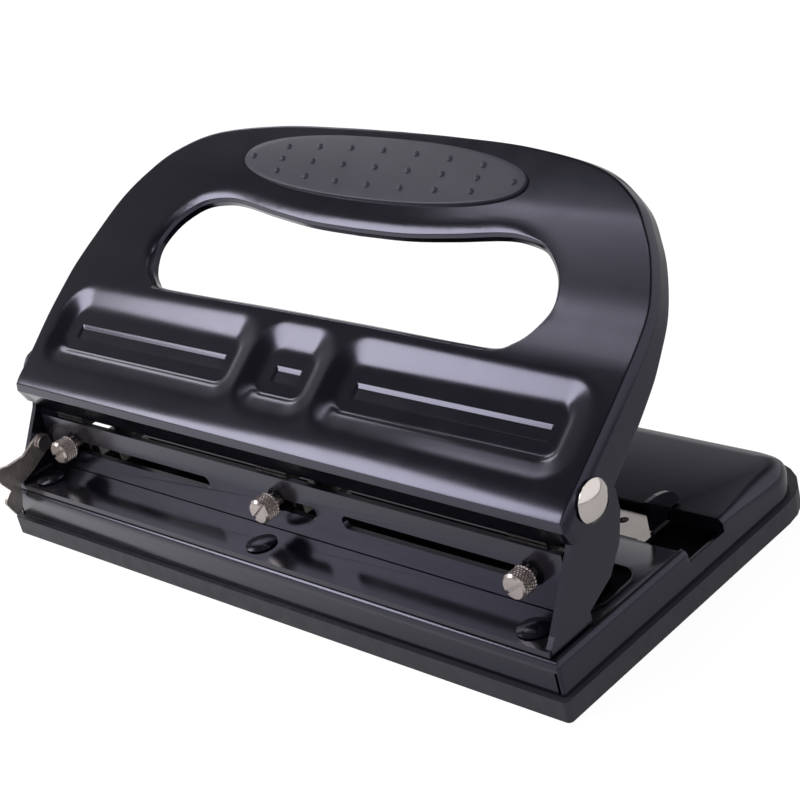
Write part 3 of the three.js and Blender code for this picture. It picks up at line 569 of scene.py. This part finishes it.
def edgeRows(columns):
    # rows from the face over the rolled edge and down the flange
    margin = handleSizes["margin"]
    rows = [[(p - m * margin, faceDepth(*(p - m * margin))) for p, o, m, e, d, r in columns]]
    starts = [faceDepth(*p) for p, o, m, e, d, r in columns]
    for k in range(len(columns[0][3])):
        rows.append([(p + o * e[k][0], start * (1 - e[k][1] / d) + e[k][1])
                     for (p, o, m, e, d, r), start in zip(columns, starts)])
    for share in (0.04, 0.35, 0.7, 0.96, 1.0):
        rows.append([(p + o * (e[-1][0] + r * share),
                      (start * (1 - e[-1][1] / d) + e[-1][1]) * (1 - share) + d * share)
                     for (p, o, m, e, d, r), start in zip(columns, starts)])
    return rows


def patchGrid():
    # lines across and up the pockets' patch, in threes at each crease
    low, high, bottom, top = handleSizes["patch"]
    beside = handleMesh["creaseHalf"]

    def lines(crisp, start, end, step):
        count = round((end - start) / step)
        marks = {round(start + (end - start) * k / count, 4) for k in range(count + 1)}
        fixed = {round(edge + shift, 4) for edge in crisp for shift in (-beside, 0.0, beside)}
        marks = {m for m in marks if all(abs(m - f) > handleMesh["creaseGap"] for f in fixed)}
        return sorted(marks | fixed | {start, end})

    cut = pocketSizes["chamfers"]
    across = [e for a, b in pocketSizes["lands"] for e in (a, a + cut["left"], b - cut["right"], b)]
    xs = lines(across, low, high, handleMesh["patchPitch"][0])
    lowS, highS = pocketSizes["landLow"], pocketSizes["landHigh"]
    creases = [lowS, lowS + cut["low"], highS - cut["top"], highS]
    ss = lines(creases, bottom, top, handleMesh["patchPitch"][1])
    return xs, ss


def handleSheet():
    fine = handleMesh
    points, faces = [], []

    def addRows(rows):
        first = len(points)
        for row in rows:
            points.extend(onHandle(p.x, p.y, depth) for p, depth in row)
        faces.extend(ringFaces(len(rows), len(rows[0]), True, first))
        return [tuple(p) for p, depth in rows[0]]

    outerLoop = addRows(edgeRows(outerColumns()))
    innerLoop = addRows(edgeRows(windowColumns()))
    xs, ss = patchGrid()
    first = len(points)
    for s in ss:
        points.extend(onHandle(x, s, faceDepth(x, s)) for x in xs)
    faces.extend(ringFaces(len(ss), len(xs), False, first))
    border = [(x, ss[0]) for x in xs] + [(xs[-1], s) for s in ss[1:]]
    border += [(x, ss[-1]) for x in reversed(xs[:-1])] + [(xs[0], s) for s in reversed(ss[1:-1])]
    flat, rims = [], []
    for loop in (outerLoop, innerLoop, border):
        start = len(flat)
        flat.extend(Vector(p) for p in loop)
        rims.extend((start + i, start + (i + 1) % len(loop)) for i in range(len(loop)))
    near = KDTree(len(flat))
    for i, p in enumerate(flat):
        near.insert((p.x, p.y, 0), i)
    near.balance()
    reach, top = fine["faceReach"]
    for s in [*np.arange(-0.2, ss[0], fine["lowPitch"]), *np.arange(ss[-1] + 0.8, top, fine["facePitch"])]:
        stretch = fine["lowStretch"] if s < ss[0] else 1
        for x in np.arange(-reach, reach + 0.1, fine["facePitch"] * stretch):
            place = Vector((float(x), float(s)))
            onFace = insideLoop(place, outerLoop) and not insideLoop(place, innerLoop)
            if onFace and near.find((*place, 0))[2] > fine["clear"]:
                flat.append(place)
    made = delaunay_2d_cdt(flat, rims, [], 0, 1e-5)
    start = len(points)
    points.extend(onHandle(p.x, p.y, faceDepth(p.x, p.y)) for p in made[0])
    for face in made[2]:
        centre = sum((made[0][i] for i in face), Vector((0, 0))) / len(face)
        onPatch = xs[0] < centre.x < xs[-1] and ss[0] < centre.y < ss[-1]
        if not onPatch and insideLoop(centre, outerLoop) and not insideLoop(centre, innerLoop):
            faces.append(tuple(start + i for i in face))
    mesh = meshFrom("handleSheet", points, faces, handleMatrix())
    welded(mesh, 2e-6)
    faceUp(mesh)
    piece = addPiece("handleSheet", mesh, "handle", "black_paint", ["handle_shell"], 40)
    solid = piece.modifiers.new("sheet", "SOLIDIFY")
    solid.thickness = handleSizes["sheet"] * mm
    solid.offset = -1
    solid.use_even_offset = True


def faceUp(mesh):
    # turn the whole sheet so that its face looks out of the handle
    out = handleMatrix().to_3x3() @ Vector((0, 0, 1))
    total = sum((Vector(p.normal).dot(out) * p.area for p in mesh.polygons), 0.0)
    if total < 0:
        mesh.flip_normals()


def insideLoop(point, loop):
    inside = False
    for (ax, ay), (bx, by) in zip(loop, loop[1:] + loop[:1]):
        if (ay > point.y) != (by > point.y) and point.x < ax + (bx - ax) * (point.y - ay) / (by - ay):
            inside = not inside
    return inside


handleSheet()
print("handle sheet made")


# Grip: a low crowned pad with rows of small nubs
gripSizes = {
    "halfLength": 64.4,
    "halfHeight": 11.6,
    "middle": -1.9,
    "centre": 100.7,
    "seat": -0.3,
    "edge": 1.2,
    "crown": 1.6,
    "power": 0.9,
    "roundOff": 0.4,
    "nubSpacing": 15.0,
    "nubRow": 6.6,
    "nubRadius": 1.05,
    "nubRise": 0.75,
    "nubSunk": 0.3,
    "rows": [(-1, -0.55, 7), (0, 0, 9), (1, 0.55, 7)],  # place of a row, its bow and its number of nubs
    "rimPoints": 200,
    "rings": 22,
}


def gripRim(count):
    size = gripSizes

    def bulge(value, reach):
        return math.copysign(abs(value) ** size["power"] * reach, value)

    turns = [2 * math.pi * i / count for i in range(count)]
    return [Vector((bulge(math.cos(t), size["halfLength"]), bulge(math.sin(t), size["halfHeight"])))
            for t in turns]


def gripHeight(x, y):
    size = gripSizes
    power = 2 / size["power"]
    out = abs(x / size["halfLength"]) ** power + abs(y / size["halfHeight"]) ** power
    return size["edge"] + (size["crown"] - size["edge"]) * (1 - min(1, out))


def gripPad():
    size = gripSizes
    points = []
    count, rings = size["rimPoints"], size["rings"]
    rim = gripRim(count)
    rows = [[(p, size["seat"]) for p in rim], [(p, size["edge"] - size["roundOff"]) for p in rim]]
    for k in range(1, 6):
        turn = math.pi / 2 * k / 5
        inset = size["roundOff"] * (1 - math.cos(turn))
        rise = size["edge"] - size["roundOff"] * (1 - math.sin(turn))
        rows.append([(p - p.normalized() * inset, rise) for p in rim])
    start = 1 - size["roundOff"] / size["halfHeight"]
    for k in range(1, rings + 1):
        share = start * (1 - k / (rings + 0.001))
        rows.append([(p * share, gripHeight(p.x * share, p.y * share)) for p in rim])
    for row in rows:
        points.extend(onHandle(size["middle"] + p.x, size["centre"] + p.y, -rise) for p, rise in row)
    faces = ringFaces(len(rows), count)
    faces.append(tuple(reversed(range(count))))
    last = (len(rows) - 1) * count
    faces.append(tuple(range(last, last + count)))
    for row, bow, number in size["rows"]:
        for i in range(number):
            x = (i - (number - 1) / 2) * size["nubSpacing"]
            addNub(points, faces, x, size["nubRow"] * (row - bow * (x / size["halfLength"]) ** 2))
    mesh = meshFrom("gripPad", points, faces, handleMatrix())
    addPiece("gripPad", mesh, "handle", "grip_plastic", ["grip_insert"], 60)


def addNub(points, faces, x, y):
    # a rounded pip with its foot sunk in the pad
    size = gripSizes
    sides, rows = 18, 7
    foot = gripHeight(x, y)
    first = len(points)
    profile = [(size["nubRadius"], foot - size["nubSunk"])]
    for j in range(rows):
        turn = math.pi / 2 * j / rows
        radius = size["nubRadius"] * math.cos(turn) ** 0.75
        profile.append((radius, foot + size["nubRise"] * math.sin(turn) ** 0.9))
    x, y = size["middle"] + x, size["centre"] + y
    for r, z in profile:
        for i in range(sides):
            angle = 2 * math.pi * i / sides
            points.append(onHandle(x + r * math.cos(angle), y + r * math.sin(angle), -z))
    faces.extend(ringFaces(len(profile), sides, True, first))
    points.append(onHandle(x, y, -(foot + size["nubRise"])))
    top = len(points) - 1
    last = first + (len(profile) - 1) * sides
    for i in range(sides):
        faces.append((last + i, last + (i + 1) % sides, top))
    faces.append(tuple(first + i for i in reversed(range(sides))))


gripPad()
print("grip made")


# Thumbscrews with a diamond knurl
screwSizes = {
    "names": ["left", "middle", "right"],
    "radius": 4.3,
    "knurl": 0.42,
    "teeth": 24,
    "twist": 0.558,
    "neckRadius": 3.1,
    "neckLength": 1.0,
    "shankRadius": 2.0,
    "chamfer": 0.7,
    "slot": 1.1,
    "slotDepth": 1.1,
    "turn": [62, 48, 55],
    "sides": 260,
    "rows": 34,
}


def thumbScrew(index):
    size = screwSizes
    name = f"thumb_screw_{size['names'][index]}"
    low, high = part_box(name)
    centre = Vector(((low.x + high.x) / 2, 0, (low.z + high.z) / 2))
    faceY, tailY = low.y / mm, high.y / mm
    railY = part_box("rail_plate")[0].y / mm
    neckY = railY - size["neckLength"]
    sides, rows = size["sides"], size["rows"]
    chamfer, neck, shank = size["chamfer"], size["neckRadius"], size["shankRadius"]
    flat = size["radius"] - chamfer
    rings = [(0.0, faceY, 0), (flat - 0.5, faceY, 0), (flat, faceY, 0)]
    for k in range(rows + 1):
        share = k / rows
        y = faceY + chamfer + (neckY - faceY - 2 * chamfer) * share
        cut = min(1.0, share * rows / 2, (1 - share) * rows / 2)
        rings.append((size["radius"], y, cut))
    rings += [(flat, neckY, 0), (neck, neckY, 0), (neck, railY - 0.3, 0), (shank, railY - 0.3, 0),
              (shank, tailY - 0.4, 0), (shank - 0.4, tailY, 0), (0.0, tailY, 0)]
    points = []
    for r, y, cut in rings[1:-1]:
        for i in range(sides):
            angle = 2 * math.pi * i / sides
            along = (y - faceY) * size["twist"]
            one = abs((size["teeth"] * angle / (2 * math.pi) + along) % 1 - 0.5) * 2
            two = abs((size["teeth"] * angle / (2 * math.pi) - along) % 1 - 0.5) * 2
            rr = r - size["knurl"] * cut * max(ease(one * 1.5 - 0.5), ease(two * 1.5 - 0.5))
            points.append((rr * math.cos(angle), y, rr * math.sin(angle)))
    count = len(rings) - 2
    faces = ringFaces(count, sides)
    points += [(0, faceY, 0), (0, tailY, 0)]
    for i in range(sides):
        j = (i + 1) % sides
        faces.append((j, i, len(points) - 2))
        faces.append(((count - 1) * sides + i, (count - 1) * sides + j, len(points) - 1))
    turn = Matrix.Rotation(math.radians(size["turn"][index]), 4, "Y")
    matrix = Matrix.Translation(centre) @ turn @ Matrix.Scale(mm, 4)
    mesh = welded(meshFrom(name, points, faces, matrix), 1e-7)
    half = size["slot"] / 2
    cutter = boxPiece("slotCutter", (-half, faceY - 2, -8), (half, faceY + size["slotDepth"], 8), matrix)
    which = size["names"][index]
    piece = addPiece(f"knurledScrew_{which}", mesh, f"screw_{which}", "browned_nickel", [name], 40)
    cutWith(piece, cutter)
    smooth(piece.data, 40)


def boxPiece(name, low, high, matrix):
    xs, ys, zs = zip(low, high)
    points = [(x, y, z) for x in xs for y in ys for z in zs]
    faces = [(0, 1, 3, 2), (4, 6, 7, 5), (0, 4, 5, 1), (2, 3, 7, 6), (0, 2, 6, 4), (1, 5, 7, 3)]
    return placed(name, meshFrom(name, points, faces, matrix))


def cutWith(piece, cutter):
    made = piece.modifiers.new("cut", "BOOLEAN")
    made.operation = "DIFFERENCE"
    made.solver = "EXACT"
    made.object = cutter
    bake(piece)
    bpy.data.objects.remove(cutter)


def bake(piece):
    # the evaluated mesh takes the place of the drawn one
    graph = bpy.context.evaluated_depsgraph_get()
    mesh = bpy.data.meshes.new_from_object(piece.evaluated_get(graph), depsgraph=graph)
    piece.modifiers.clear()
    piece.data = mesh


for index in range(3):
    thumbScrew(index)
print("thumbscrews made")


# Rivets
rivetSizes = {
    "pivotRadius": 6.5,
    "pivotRise": 3.1,
    "pivotShank": 2.6,
    "frameRadius": 5.2,
    "frameRise": 1.0,
    "frameShank": 2,
    "tail": 3.8,
    "tailRise": 1.3,
    "sides": 64,
}


def domeProfile(radius, rise, foot, skirt=0.25, steps=16):
    # a cap of a ball on a low skirt
    profile = [(0, foot), (radius - 0.15, foot), (radius, foot + skirt * 0.4), (radius, foot + skirt)]
    cap = rise - skirt
    ball = (radius ** 2 + cap ** 2) / (2 * cap)
    widest = math.asin(min(1, radius / ball))
    for k in range(1, steps):
        turn = widest * (1 - k / steps)
        profile.append((ball * math.sin(turn), foot + rise - ball * (1 - math.cos(turn))))
    profile.append((0, foot + rise))
    return profile


def rivetProfile(radius, rise, shank, low, foot):
    # the closed tail at low, the shank, and the dome from foot up
    tail, top = rivetSizes["tail"], low + rivetSizes["tailRise"]
    profile = [(0, low), (tail - 0.3, low), (tail, low + 0.3), (tail, top), (shank, top), (shank, foot)]
    return profile + domeProfile(radius, rise, foot)[1:]


def pivotRivet(name, side):
    low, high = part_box(name)
    size = rivetSizes
    centre = Vector((0, (low.y + high.y) / 2, (low.z + high.z) / 2))
    outer = (high.x if side > 0 else -low.x) / mm
    inner = (low.x if side > 0 else -high.x) / mm
    foot = outer - size["pivotRise"]
    profile = rivetProfile(size["pivotRadius"], size["pivotRise"], size["pivotShank"], inner, foot)
    points, faces = lathe(profile, size["sides"])
    turn = Matrix.Rotation(side * math.pi / 2, 4, "Y")
    mesh = meshFrom(name, points, faces, Matrix.Translation(centre) @ turn @ Matrix.Scale(mm, 4))
    addPiece(f"pivotDome_{'right' if side > 0 else 'left'}", welded(mesh), "base", "nickel", [name], 40)


def frameRivet(which):
    name = f"frame_rivet_{which}"
    low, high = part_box(name)
    size = rivetSizes
    centre = Vector(((low.x + high.x) / 2, (low.y + high.y) / 2, 0))
    top, bottom = high.z / mm, low.z / mm
    foot = top - size["frameRise"]
    profile = rivetProfile(size["frameRadius"], size["frameRise"], size["frameShank"], bottom, foot)
    points, faces = lathe(profile, size["sides"])
    mesh = meshFrom(name, points, faces, Matrix.Translation(centre) @ Matrix.Scale(mm, 4))
    addPiece(f"frameDome_{which}", welded(mesh), "base", "black_paint", [name], 40)


pivotRivet("pivot_rivet_left", -1)
pivotRivet("pivot_rivet_right", 1)
for which in ("left", "middle", "right"):
    frameRivet(which)
print("rivets made")


# Springs wound from round wire
springSizes = {"wire": 0.6, "radius": 5.0, "curls": 7, "steps": 40, "sides": 12, "pinTravel": 7.3}
# climb of the wire by share of its length, with closer turns at both ends
springRise = [(0, 0), (0.11, 0.05), (0.89, 0.95), (1, 1)]


def springCoil(which):
    size = springSizes
    name = f"return_spring_{which}"
    low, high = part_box(name)
    centre = (low + high) / 2 / mm
    bottom, top = low.z / mm + size["wire"], high.z / mm - size["wire"]
    total = size["curls"] * size["steps"]
    points = []
    for i in range(total + 1):
        share = i / total
        turn = 2 * math.pi * i / size["steps"]
        rise = between(springRise, share)
        radial = Vector((math.cos(turn), math.sin(turn), 0))
        mid = Vector((centre.x, centre.y, bottom + (top - bottom) * rise)) + radial * size["radius"]
        for k in range(size["sides"]):
            angle = 2 * math.pi * k / size["sides"]
            lift = Vector((0, 0, size["wire"] * math.sin(angle)))
            points.append(mid + radial * size["wire"] * math.cos(angle) + lift)
    faces = ringFaces(total + 1, size["sides"])
    faces.append(tuple(range(size["sides"])))
    last = total * size["sides"]
    faces.append(tuple(reversed(range(last, last + size["sides"]))))
    mesh = meshFrom(name, points, faces, Matrix.Scale(mm, 4))
    # the wire takes the steel painted dark as shade
    coil = addPiece(f"springCoil_{which}", welded(mesh, 1e-7), f"head_{which}", "shade_dark_steel", [name], 60)
    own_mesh(coil)


for which in ("left", "middle", "right"):
    springCoil(which)
print("springs wound")


# Base pan: the CAD's pan trimmed by a finely rounded skin, so that its corners and shoulders run smooth
panSizes = {
    "half": 129.3,
    "front": -60.7,
    "rear": 61.9,
    "bottom": 7.1,
    "top": 18.3,
    "corner": 15.0,
    "frontCorner": 1.2,
    "shoulder": 2.4,
    "rearShoulder": 9.4,
    "shaved": 0.17,
    "skirt": 6.0,
    "edge": 0.45,
    "frontSteps": 8,
    "sideSteps": 24,
    "rearSteps": 24,
    "bendSteps": 9,
    "swell": (0.45, 15, 32),  # share of the rear shoulder that the sides reach, from where and over what length
}


def panStations():
    # places round the pan: corner point, towards its inside, edge radius, outward direction, shoulder radius
    size = panSizes
    half, corner, small = size["half"], size["corner"], size["frontCorner"]
    right = []

    def shoulder(y, turn):
        most, start, over = size["swell"]
        share = max(ease(turn / (math.pi / 2)), most * ease((y - start) / over))
        return size["shoulder"] + (size["rearShoulder"] - size["shoulder"]) * share

    steps = size["frontSteps"]
    for k in range(steps + 1):
        turn = -math.pi / 2 + math.pi / 2 * k / steps
        right.append(((half, size["front"]), (-1, 1), small, (math.cos(turn), math.sin(turn)),
                      size["shoulder"]))
    steps = size["sideSteps"]
    for k in range(1, steps):
        y = size["front"] + small + (size["rear"] - corner - size["front"] - small) * k / steps
        right.append(((half, y), (-1, 0), 0, (1, 0), shoulder(y, 0)))
    steps = size["rearSteps"]
    for k in range(steps + 1):
        turn = math.pi / 2 * k / steps
        right.append(((half, size["rear"]), (-1, -1), corner, (math.cos(turn), math.sin(turn)),
                      shoulder(size["rear"] - corner, turn)))
    left = [((-x, y), (-a, b), r, (-u, v), s) for (x, y), (a, b), r, (u, v), s in reversed(right)]
    return right + left


def panSkin():
    size = panSizes
    stations = panStations()

    def ring(insets, heights):
        row = []
        for ((x, y), (a, b), radius, (u, v), s), inset, z in zip(stations, insets, heights):
            left = max(radius - inset, 0.08) if radius else 0
            reach = inset + left
            row.append((x + a * reach + u * left, y + b * reach + v * left, z))
        return row

    def level(inset, z):
        return ring([inset] * len(stations), [z] * len(stations))

    low = size["bottom"] + 0.05
    rows = [level(-size["skirt"], -1), level(-size["skirt"], low), level(size["shaved"], low)]
    bend = [s[4] - size["shaved"] for s in stations]
    for k in range(size["bendSteps"] + 1):
        turn = math.pi / 2 * k / size["bendSteps"]
        rows.append(ring([s[4] - r * math.cos(turn) for s, r in zip(stations, bend)],
                         [size["top"] - s[4] + r * math.sin(turn) for s, r in zip(stations, bend)]))
    points = [p for row in rows for p in row]
    count = len(stations)
    faces = ringFaces(len(rows), count)
    faces.append(tuple(reversed(range(count))))
    faces.append(tuple(range(len(points) - count, len(points))))
    return placed("panSkin", welded(meshFrom("panSkin", points, faces, Matrix.Scale(mm, 4)), 1e-7))


def panCover():
    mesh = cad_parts["base_pan"].data.copy()
    mesh.transform(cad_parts["base_pan"].matrix_world)
    piece = addPiece("panCover", mesh, "base", "black_paint", ["base_pan"], 30)
    flat = piece.modifiers.new("flats", "DECIMATE")
    flat.decimate_type = "DISSOLVE"
    flat.angle_limit = math.radians(0.5)
    skin = panSkin()
    cut = piece.modifiers.new("skin", "BOOLEAN")
    cut.operation = "INTERSECT"
    cut.solver = "EXACT"
    cut.object = skin
    bake(piece)
    bpy.data.objects.remove(skin)
    bevel = piece.modifiers.new("edges", "BEVEL")
    bevel.width = panSizes["edge"] * mm
    bevel.segments = 3
    bevel.limit_method = "ANGLE"
    bevel.angle_limit = math.radians(40)
    bake(piece)
    piece.data.materials.clear()
    piece.data.materials.append(finishes["black_paint"])
    smooth(piece.data, 25)


panCover()
print("pan made")


# CAD nodes that keep their shape get rounded edges and their finish
# width of the bevel, its segments and the finish
edgeSizes = {
    "chip_tray": (0.5, 3, "tray_plastic"),
    "punch_frame": (0.75, 4, "black_paint"),
    "rail_plate": (0.3, 2, "black_paint"),
    "lever_rivet": (0.25, 2, "nickel"),
    "lock_lever": (0.4, 3, "browned_nickel"),
    "guide_strip": (0.3, 2, "nickel"),
    "guide_tab": (0.35, 3, "black_paint"),
}
for which in ("left", "middle", "right"):
    # the heads take the brownish nickel painted dark as shade
    edgeSizes[f"punch_head_{which}"] = (0.35, 2, "shade_dark_nickel")
    # dies, pins and clips take the steel painted dark as shade
    edgeSizes[f"die_bush_{which}"] = (0.2, 2, "shade_dark_steel")
    edgeSizes[f"punch_pin_{which}"] = (0.15, 2, "shade_dark_steel")
    edgeSizes[f"pin_clip_{which}"] = (0.2, 2, "shade_dark_steel")


def dressNode(name, width, segments, slotName):
    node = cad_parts[name]
    node.data.materials.clear()
    node.data.materials.append(finishes[slotName])
    flat = node.modifiers.new("flats", "DECIMATE")
    flat.decimate_type = "DISSOLVE"
    flat.angle_limit = math.radians(1)
    bevel = node.modifiers.new("edges", "BEVEL")
    bevel.width = width * mm
    bevel.segments = segments
    bevel.limit_method = "ANGLE"
    bevel.angle_limit = math.radians(38)
    node.data.shade_smooth()
    weighted = node.modifiers.new("shading", "WEIGHTED_NORMAL")
    weighted.keep_sharp = True


for name, (width, segments, slotName) in edgeSizes.items():
    dressNode(name, width, segments, slotName)
print("CAD nodes dressed")


# Floor, world and lights
stageSizes = {
    "floorHalf": 6.0,
    "floorColour": (0.88, 0.88, 0.88),
    "floorSeen": 1.12,
    "floorShadow": 0.2,
    "floorMirrored": (0.5, 1.7),  # how bright gloss shows the floor on the right and in front on the left
    "floorMirroredShare": 0.85,
    "floorForward": (-0.83, -0.56, 0),
    "floorForwardOver": (-0.1, 0.35),
    "worldLevel": 0.75,
    "skyTurn": (-0.2, 0.4),
    # what gloss shows, by the height of the direction: towards the back left, and towards the right
    "backSky": [(0.0, 0.06), (0.035, 0.08), (0.05, 1.0), (0.3, 0.7), (0.47, 0.42), (0.545, 0.3), (0.59, 0.23),
                (0.68, 0.14), (0.77, 0.08), (1.0, 0.07)],
    "rightSky": [(0.0, 0.06), (0.035, 0.08), (0.05, 1.0), (0.74, 1.0), (0.93, 0.15), (1.0, 0.1)],
}
lightSizes = [
    {"name": "frontSoftbox", "place": (-1.002, -0.783, 0.845), "aim": (0, 0, 0.05), "size": (0.56, 0.5),
     "radiance": 8.0, "turn": 0},
    {"name": "sideCard", "place": (-1.156, 0.246, 0.973), "aim": (0, 0, 0.05), "size": (0.32, 0.4),
     "radiance": 4.0, "turn": 0},
    {"name": "legCard", "place": (-0.1880, -0.0365, 0.4499), "aim": (0.0958, 0.0449, 0.1103),
     "size": (0.03, 0.15), "radiance": 3.8, "turn": -16.7},
    {"name": "legCardFade", "place": (-0.1861, -0.0727, 0.4428), "aim": (0.0977, 0.0087, 0.1032),
     "size": (0.03, 0.15), "radiance": 0.6, "turn": -16.7},
]


def makeFloor():
    half = stageSizes["floorHalf"]
    corners = [(-half, -half, 0), (half, -half, 0), (half, half, 0), (-half, half, 0)]
    mesh = meshFrom("floor", corners, [(0, 1, 2, 3)])
    floor = placed("floor", mesh)
    paper = Finish("paleFloor", 0.9)
    low = tuple(c * 0.99 for c in stageSizes["floorColour"])
    paper.colour(paper.noise(0.4), low, stageSizes["floorColour"])
    paper.shader.inputs["Specular IOR Level"].default_value = 0
    tree = paper.tree
    path = paper.node("ShaderNodeLightPath")
    seenLit = paper.node("ShaderNodeEmission", Strength=stageSizes["floorSeen"])
    mirrorLit = paper.node("ShaderNodeEmission")
    forward = paper.node("ShaderNodeVectorMath", operation="DOT_PRODUCT")
    forward.inputs[1].default_value = stageSizes["floorForward"]
    paper.link(paper.place, forward.inputs[0])
    mirrored = paper.spread(forward.outputs["Value"], *stageSizes["floorMirrored"],
                            *stageSizes["floorForwardOver"])
    paper.link(mirrored, mirrorLit.inputs["Strength"])
    mixes = []
    shares = (1 - stageSizes["floorShadow"], stageSizes["floorMirroredShare"])
    for share, lit in zip(shares, (seenLit, mirrorLit)):
        mix = paper.node("ShaderNodeMixShader", Fac=share)
        paper.link(paper.shader.outputs["BSDF"], mix.inputs[1])
        paper.link(lit.outputs["Emission"], mix.inputs[2])
        mixes.append(mix.outputs["Shader"])
    glossy = paper.node("ShaderNodeMixShader")
    paper.link(path.outputs["Is Glossy Ray"], glossy.inputs["Fac"])
    paper.link(paper.shader.outputs["BSDF"], glossy.inputs[1])
    paper.link(mixes[1], glossy.inputs[2])
    seen = paper.node("ShaderNodeMixShader")
    either = paper.node("ShaderNodeMath", operation="MAXIMUM")
    paper.link(path.outputs["Is Camera Ray"], either.inputs[0])
    paper.link(path.outputs["Is Transmission Ray"], either.inputs[1])
    paper.link(either.outputs["Value"], seen.inputs["Fac"])
    paper.link(glossy.outputs["Shader"], seen.inputs[1])
    paper.link(mixes[0], seen.inputs[2])
    paper.link(seen.outputs["Shader"], tree.nodes["Material Output"].inputs["Surface"])
    mesh.materials.append(paper.material)


def skyRamp(tree, height, stops):
    ramp = tree.nodes.new("ShaderNodeValToRGB")
    tree.links.new(height, ramp.inputs["Fac"])
    elements = ramp.color_ramp.elements
    while len(elements) < len(stops):
        elements.new(0.5)
    for element, (at, level) in zip(elements, stops):
        element.position = at
        element.color = (level, level, level, 1)
    return ramp.outputs["Color"]


def makeWorld():
    world = bpy.data.worlds.new("studio")
    bpy.context.scene.world = world
    world.use_nodes = True
    tree = world.node_tree
    tree.nodes.clear()
    out = tree.nodes.new("ShaderNodeOutputWorld")
    path = tree.nodes.new("ShaderNodeLightPath")
    level = tree.nodes.new("ShaderNodeBackground")
    level.inputs["Strength"].default_value = stageSizes["worldLevel"]
    seen = tree.nodes.new("ShaderNodeBackground")
    mirrored = tree.nodes.new("ShaderNodeBackground")
    place = tree.nodes.new("ShaderNodeTexCoord")
    split = tree.nodes.new("ShaderNodeSeparateXYZ")
    tree.links.new(place.outputs["Generated"], split.inputs["Vector"])
    aside = tree.nodes.new("ShaderNodeMapRange")
    aside.interpolation_type = "SMOOTHSTEP"
    for key, number in zip(("From Min", "From Max"), stageSizes["skyTurn"]):
        aside.inputs[key].default_value = number
    tree.links.new(split.outputs["X"], aside.inputs["Value"])
    sky = tree.nodes.new("ShaderNodeMix")
    sky.data_type = "RGBA"
    tree.links.new(aside.outputs["Result"], sky.inputs["Factor"])
    for name, stops in (("A", stageSizes["backSky"]), ("B", stageSizes["rightSky"])):
        socket = next(s for s in sky.inputs if s.type == "RGBA" and s.name == name)
        tree.links.new(skyRamp(tree, split.outputs["Z"], stops), socket)
    tree.links.new(next(s for s in sky.outputs if s.type == "RGBA"), mirrored.inputs["Color"])
    for shader in (level, seen):
        shader.inputs["Color"].default_value = (1, 1, 1, 1)
    glossy = tree.nodes.new("ShaderNodeMixShader")
    tree.links.new(path.outputs["Is Glossy Ray"], glossy.inputs["Fac"])
    tree.links.new(level.outputs["Background"], glossy.inputs[1])
    tree.links.new(mirrored.outputs["Background"], glossy.inputs[2])
    camera = tree.nodes.new("ShaderNodeMixShader")
    either = tree.nodes.new("ShaderNodeMath")
    either.operation = "MAXIMUM"
    tree.links.new(path.outputs["Is Camera Ray"], either.inputs[0])
    tree.links.new(path.outputs["Is Transmission Ray"], either.inputs[1])
    tree.links.new(either.outputs["Value"], camera.inputs["Fac"])
    tree.links.new(glossy.outputs["Shader"], camera.inputs[1])
    tree.links.new(seen.outputs["Background"], camera.inputs[2])
    tree.links.new(camera.outputs["Shader"], out.inputs["Surface"])


def makeLight(facts):
    data = bpy.data.lights.new(facts["name"], "AREA")
    data.shape = "RECTANGLE"
    data.size, data.size_y = facts["size"]
    data.energy = facts["radiance"] * math.pi * data.size * data.size_y
    light = placed(facts["name"], data)
    light.location = facts["place"]
    light.rotation_mode = "QUATERNION"
    turn = Quaternion((0, 0, 1), math.radians(facts["turn"]))
    light.rotation_quaternion = (Vector(facts["aim"]) - light.location).to_track_quat("-Z", "Y") @ turn


makeFloor()
makeWorld()
for facts in lightSizes:
    makeLight(facts)
bpy.context.scene.view_settings.view_transform = "Standard"
print("stage and lights set")
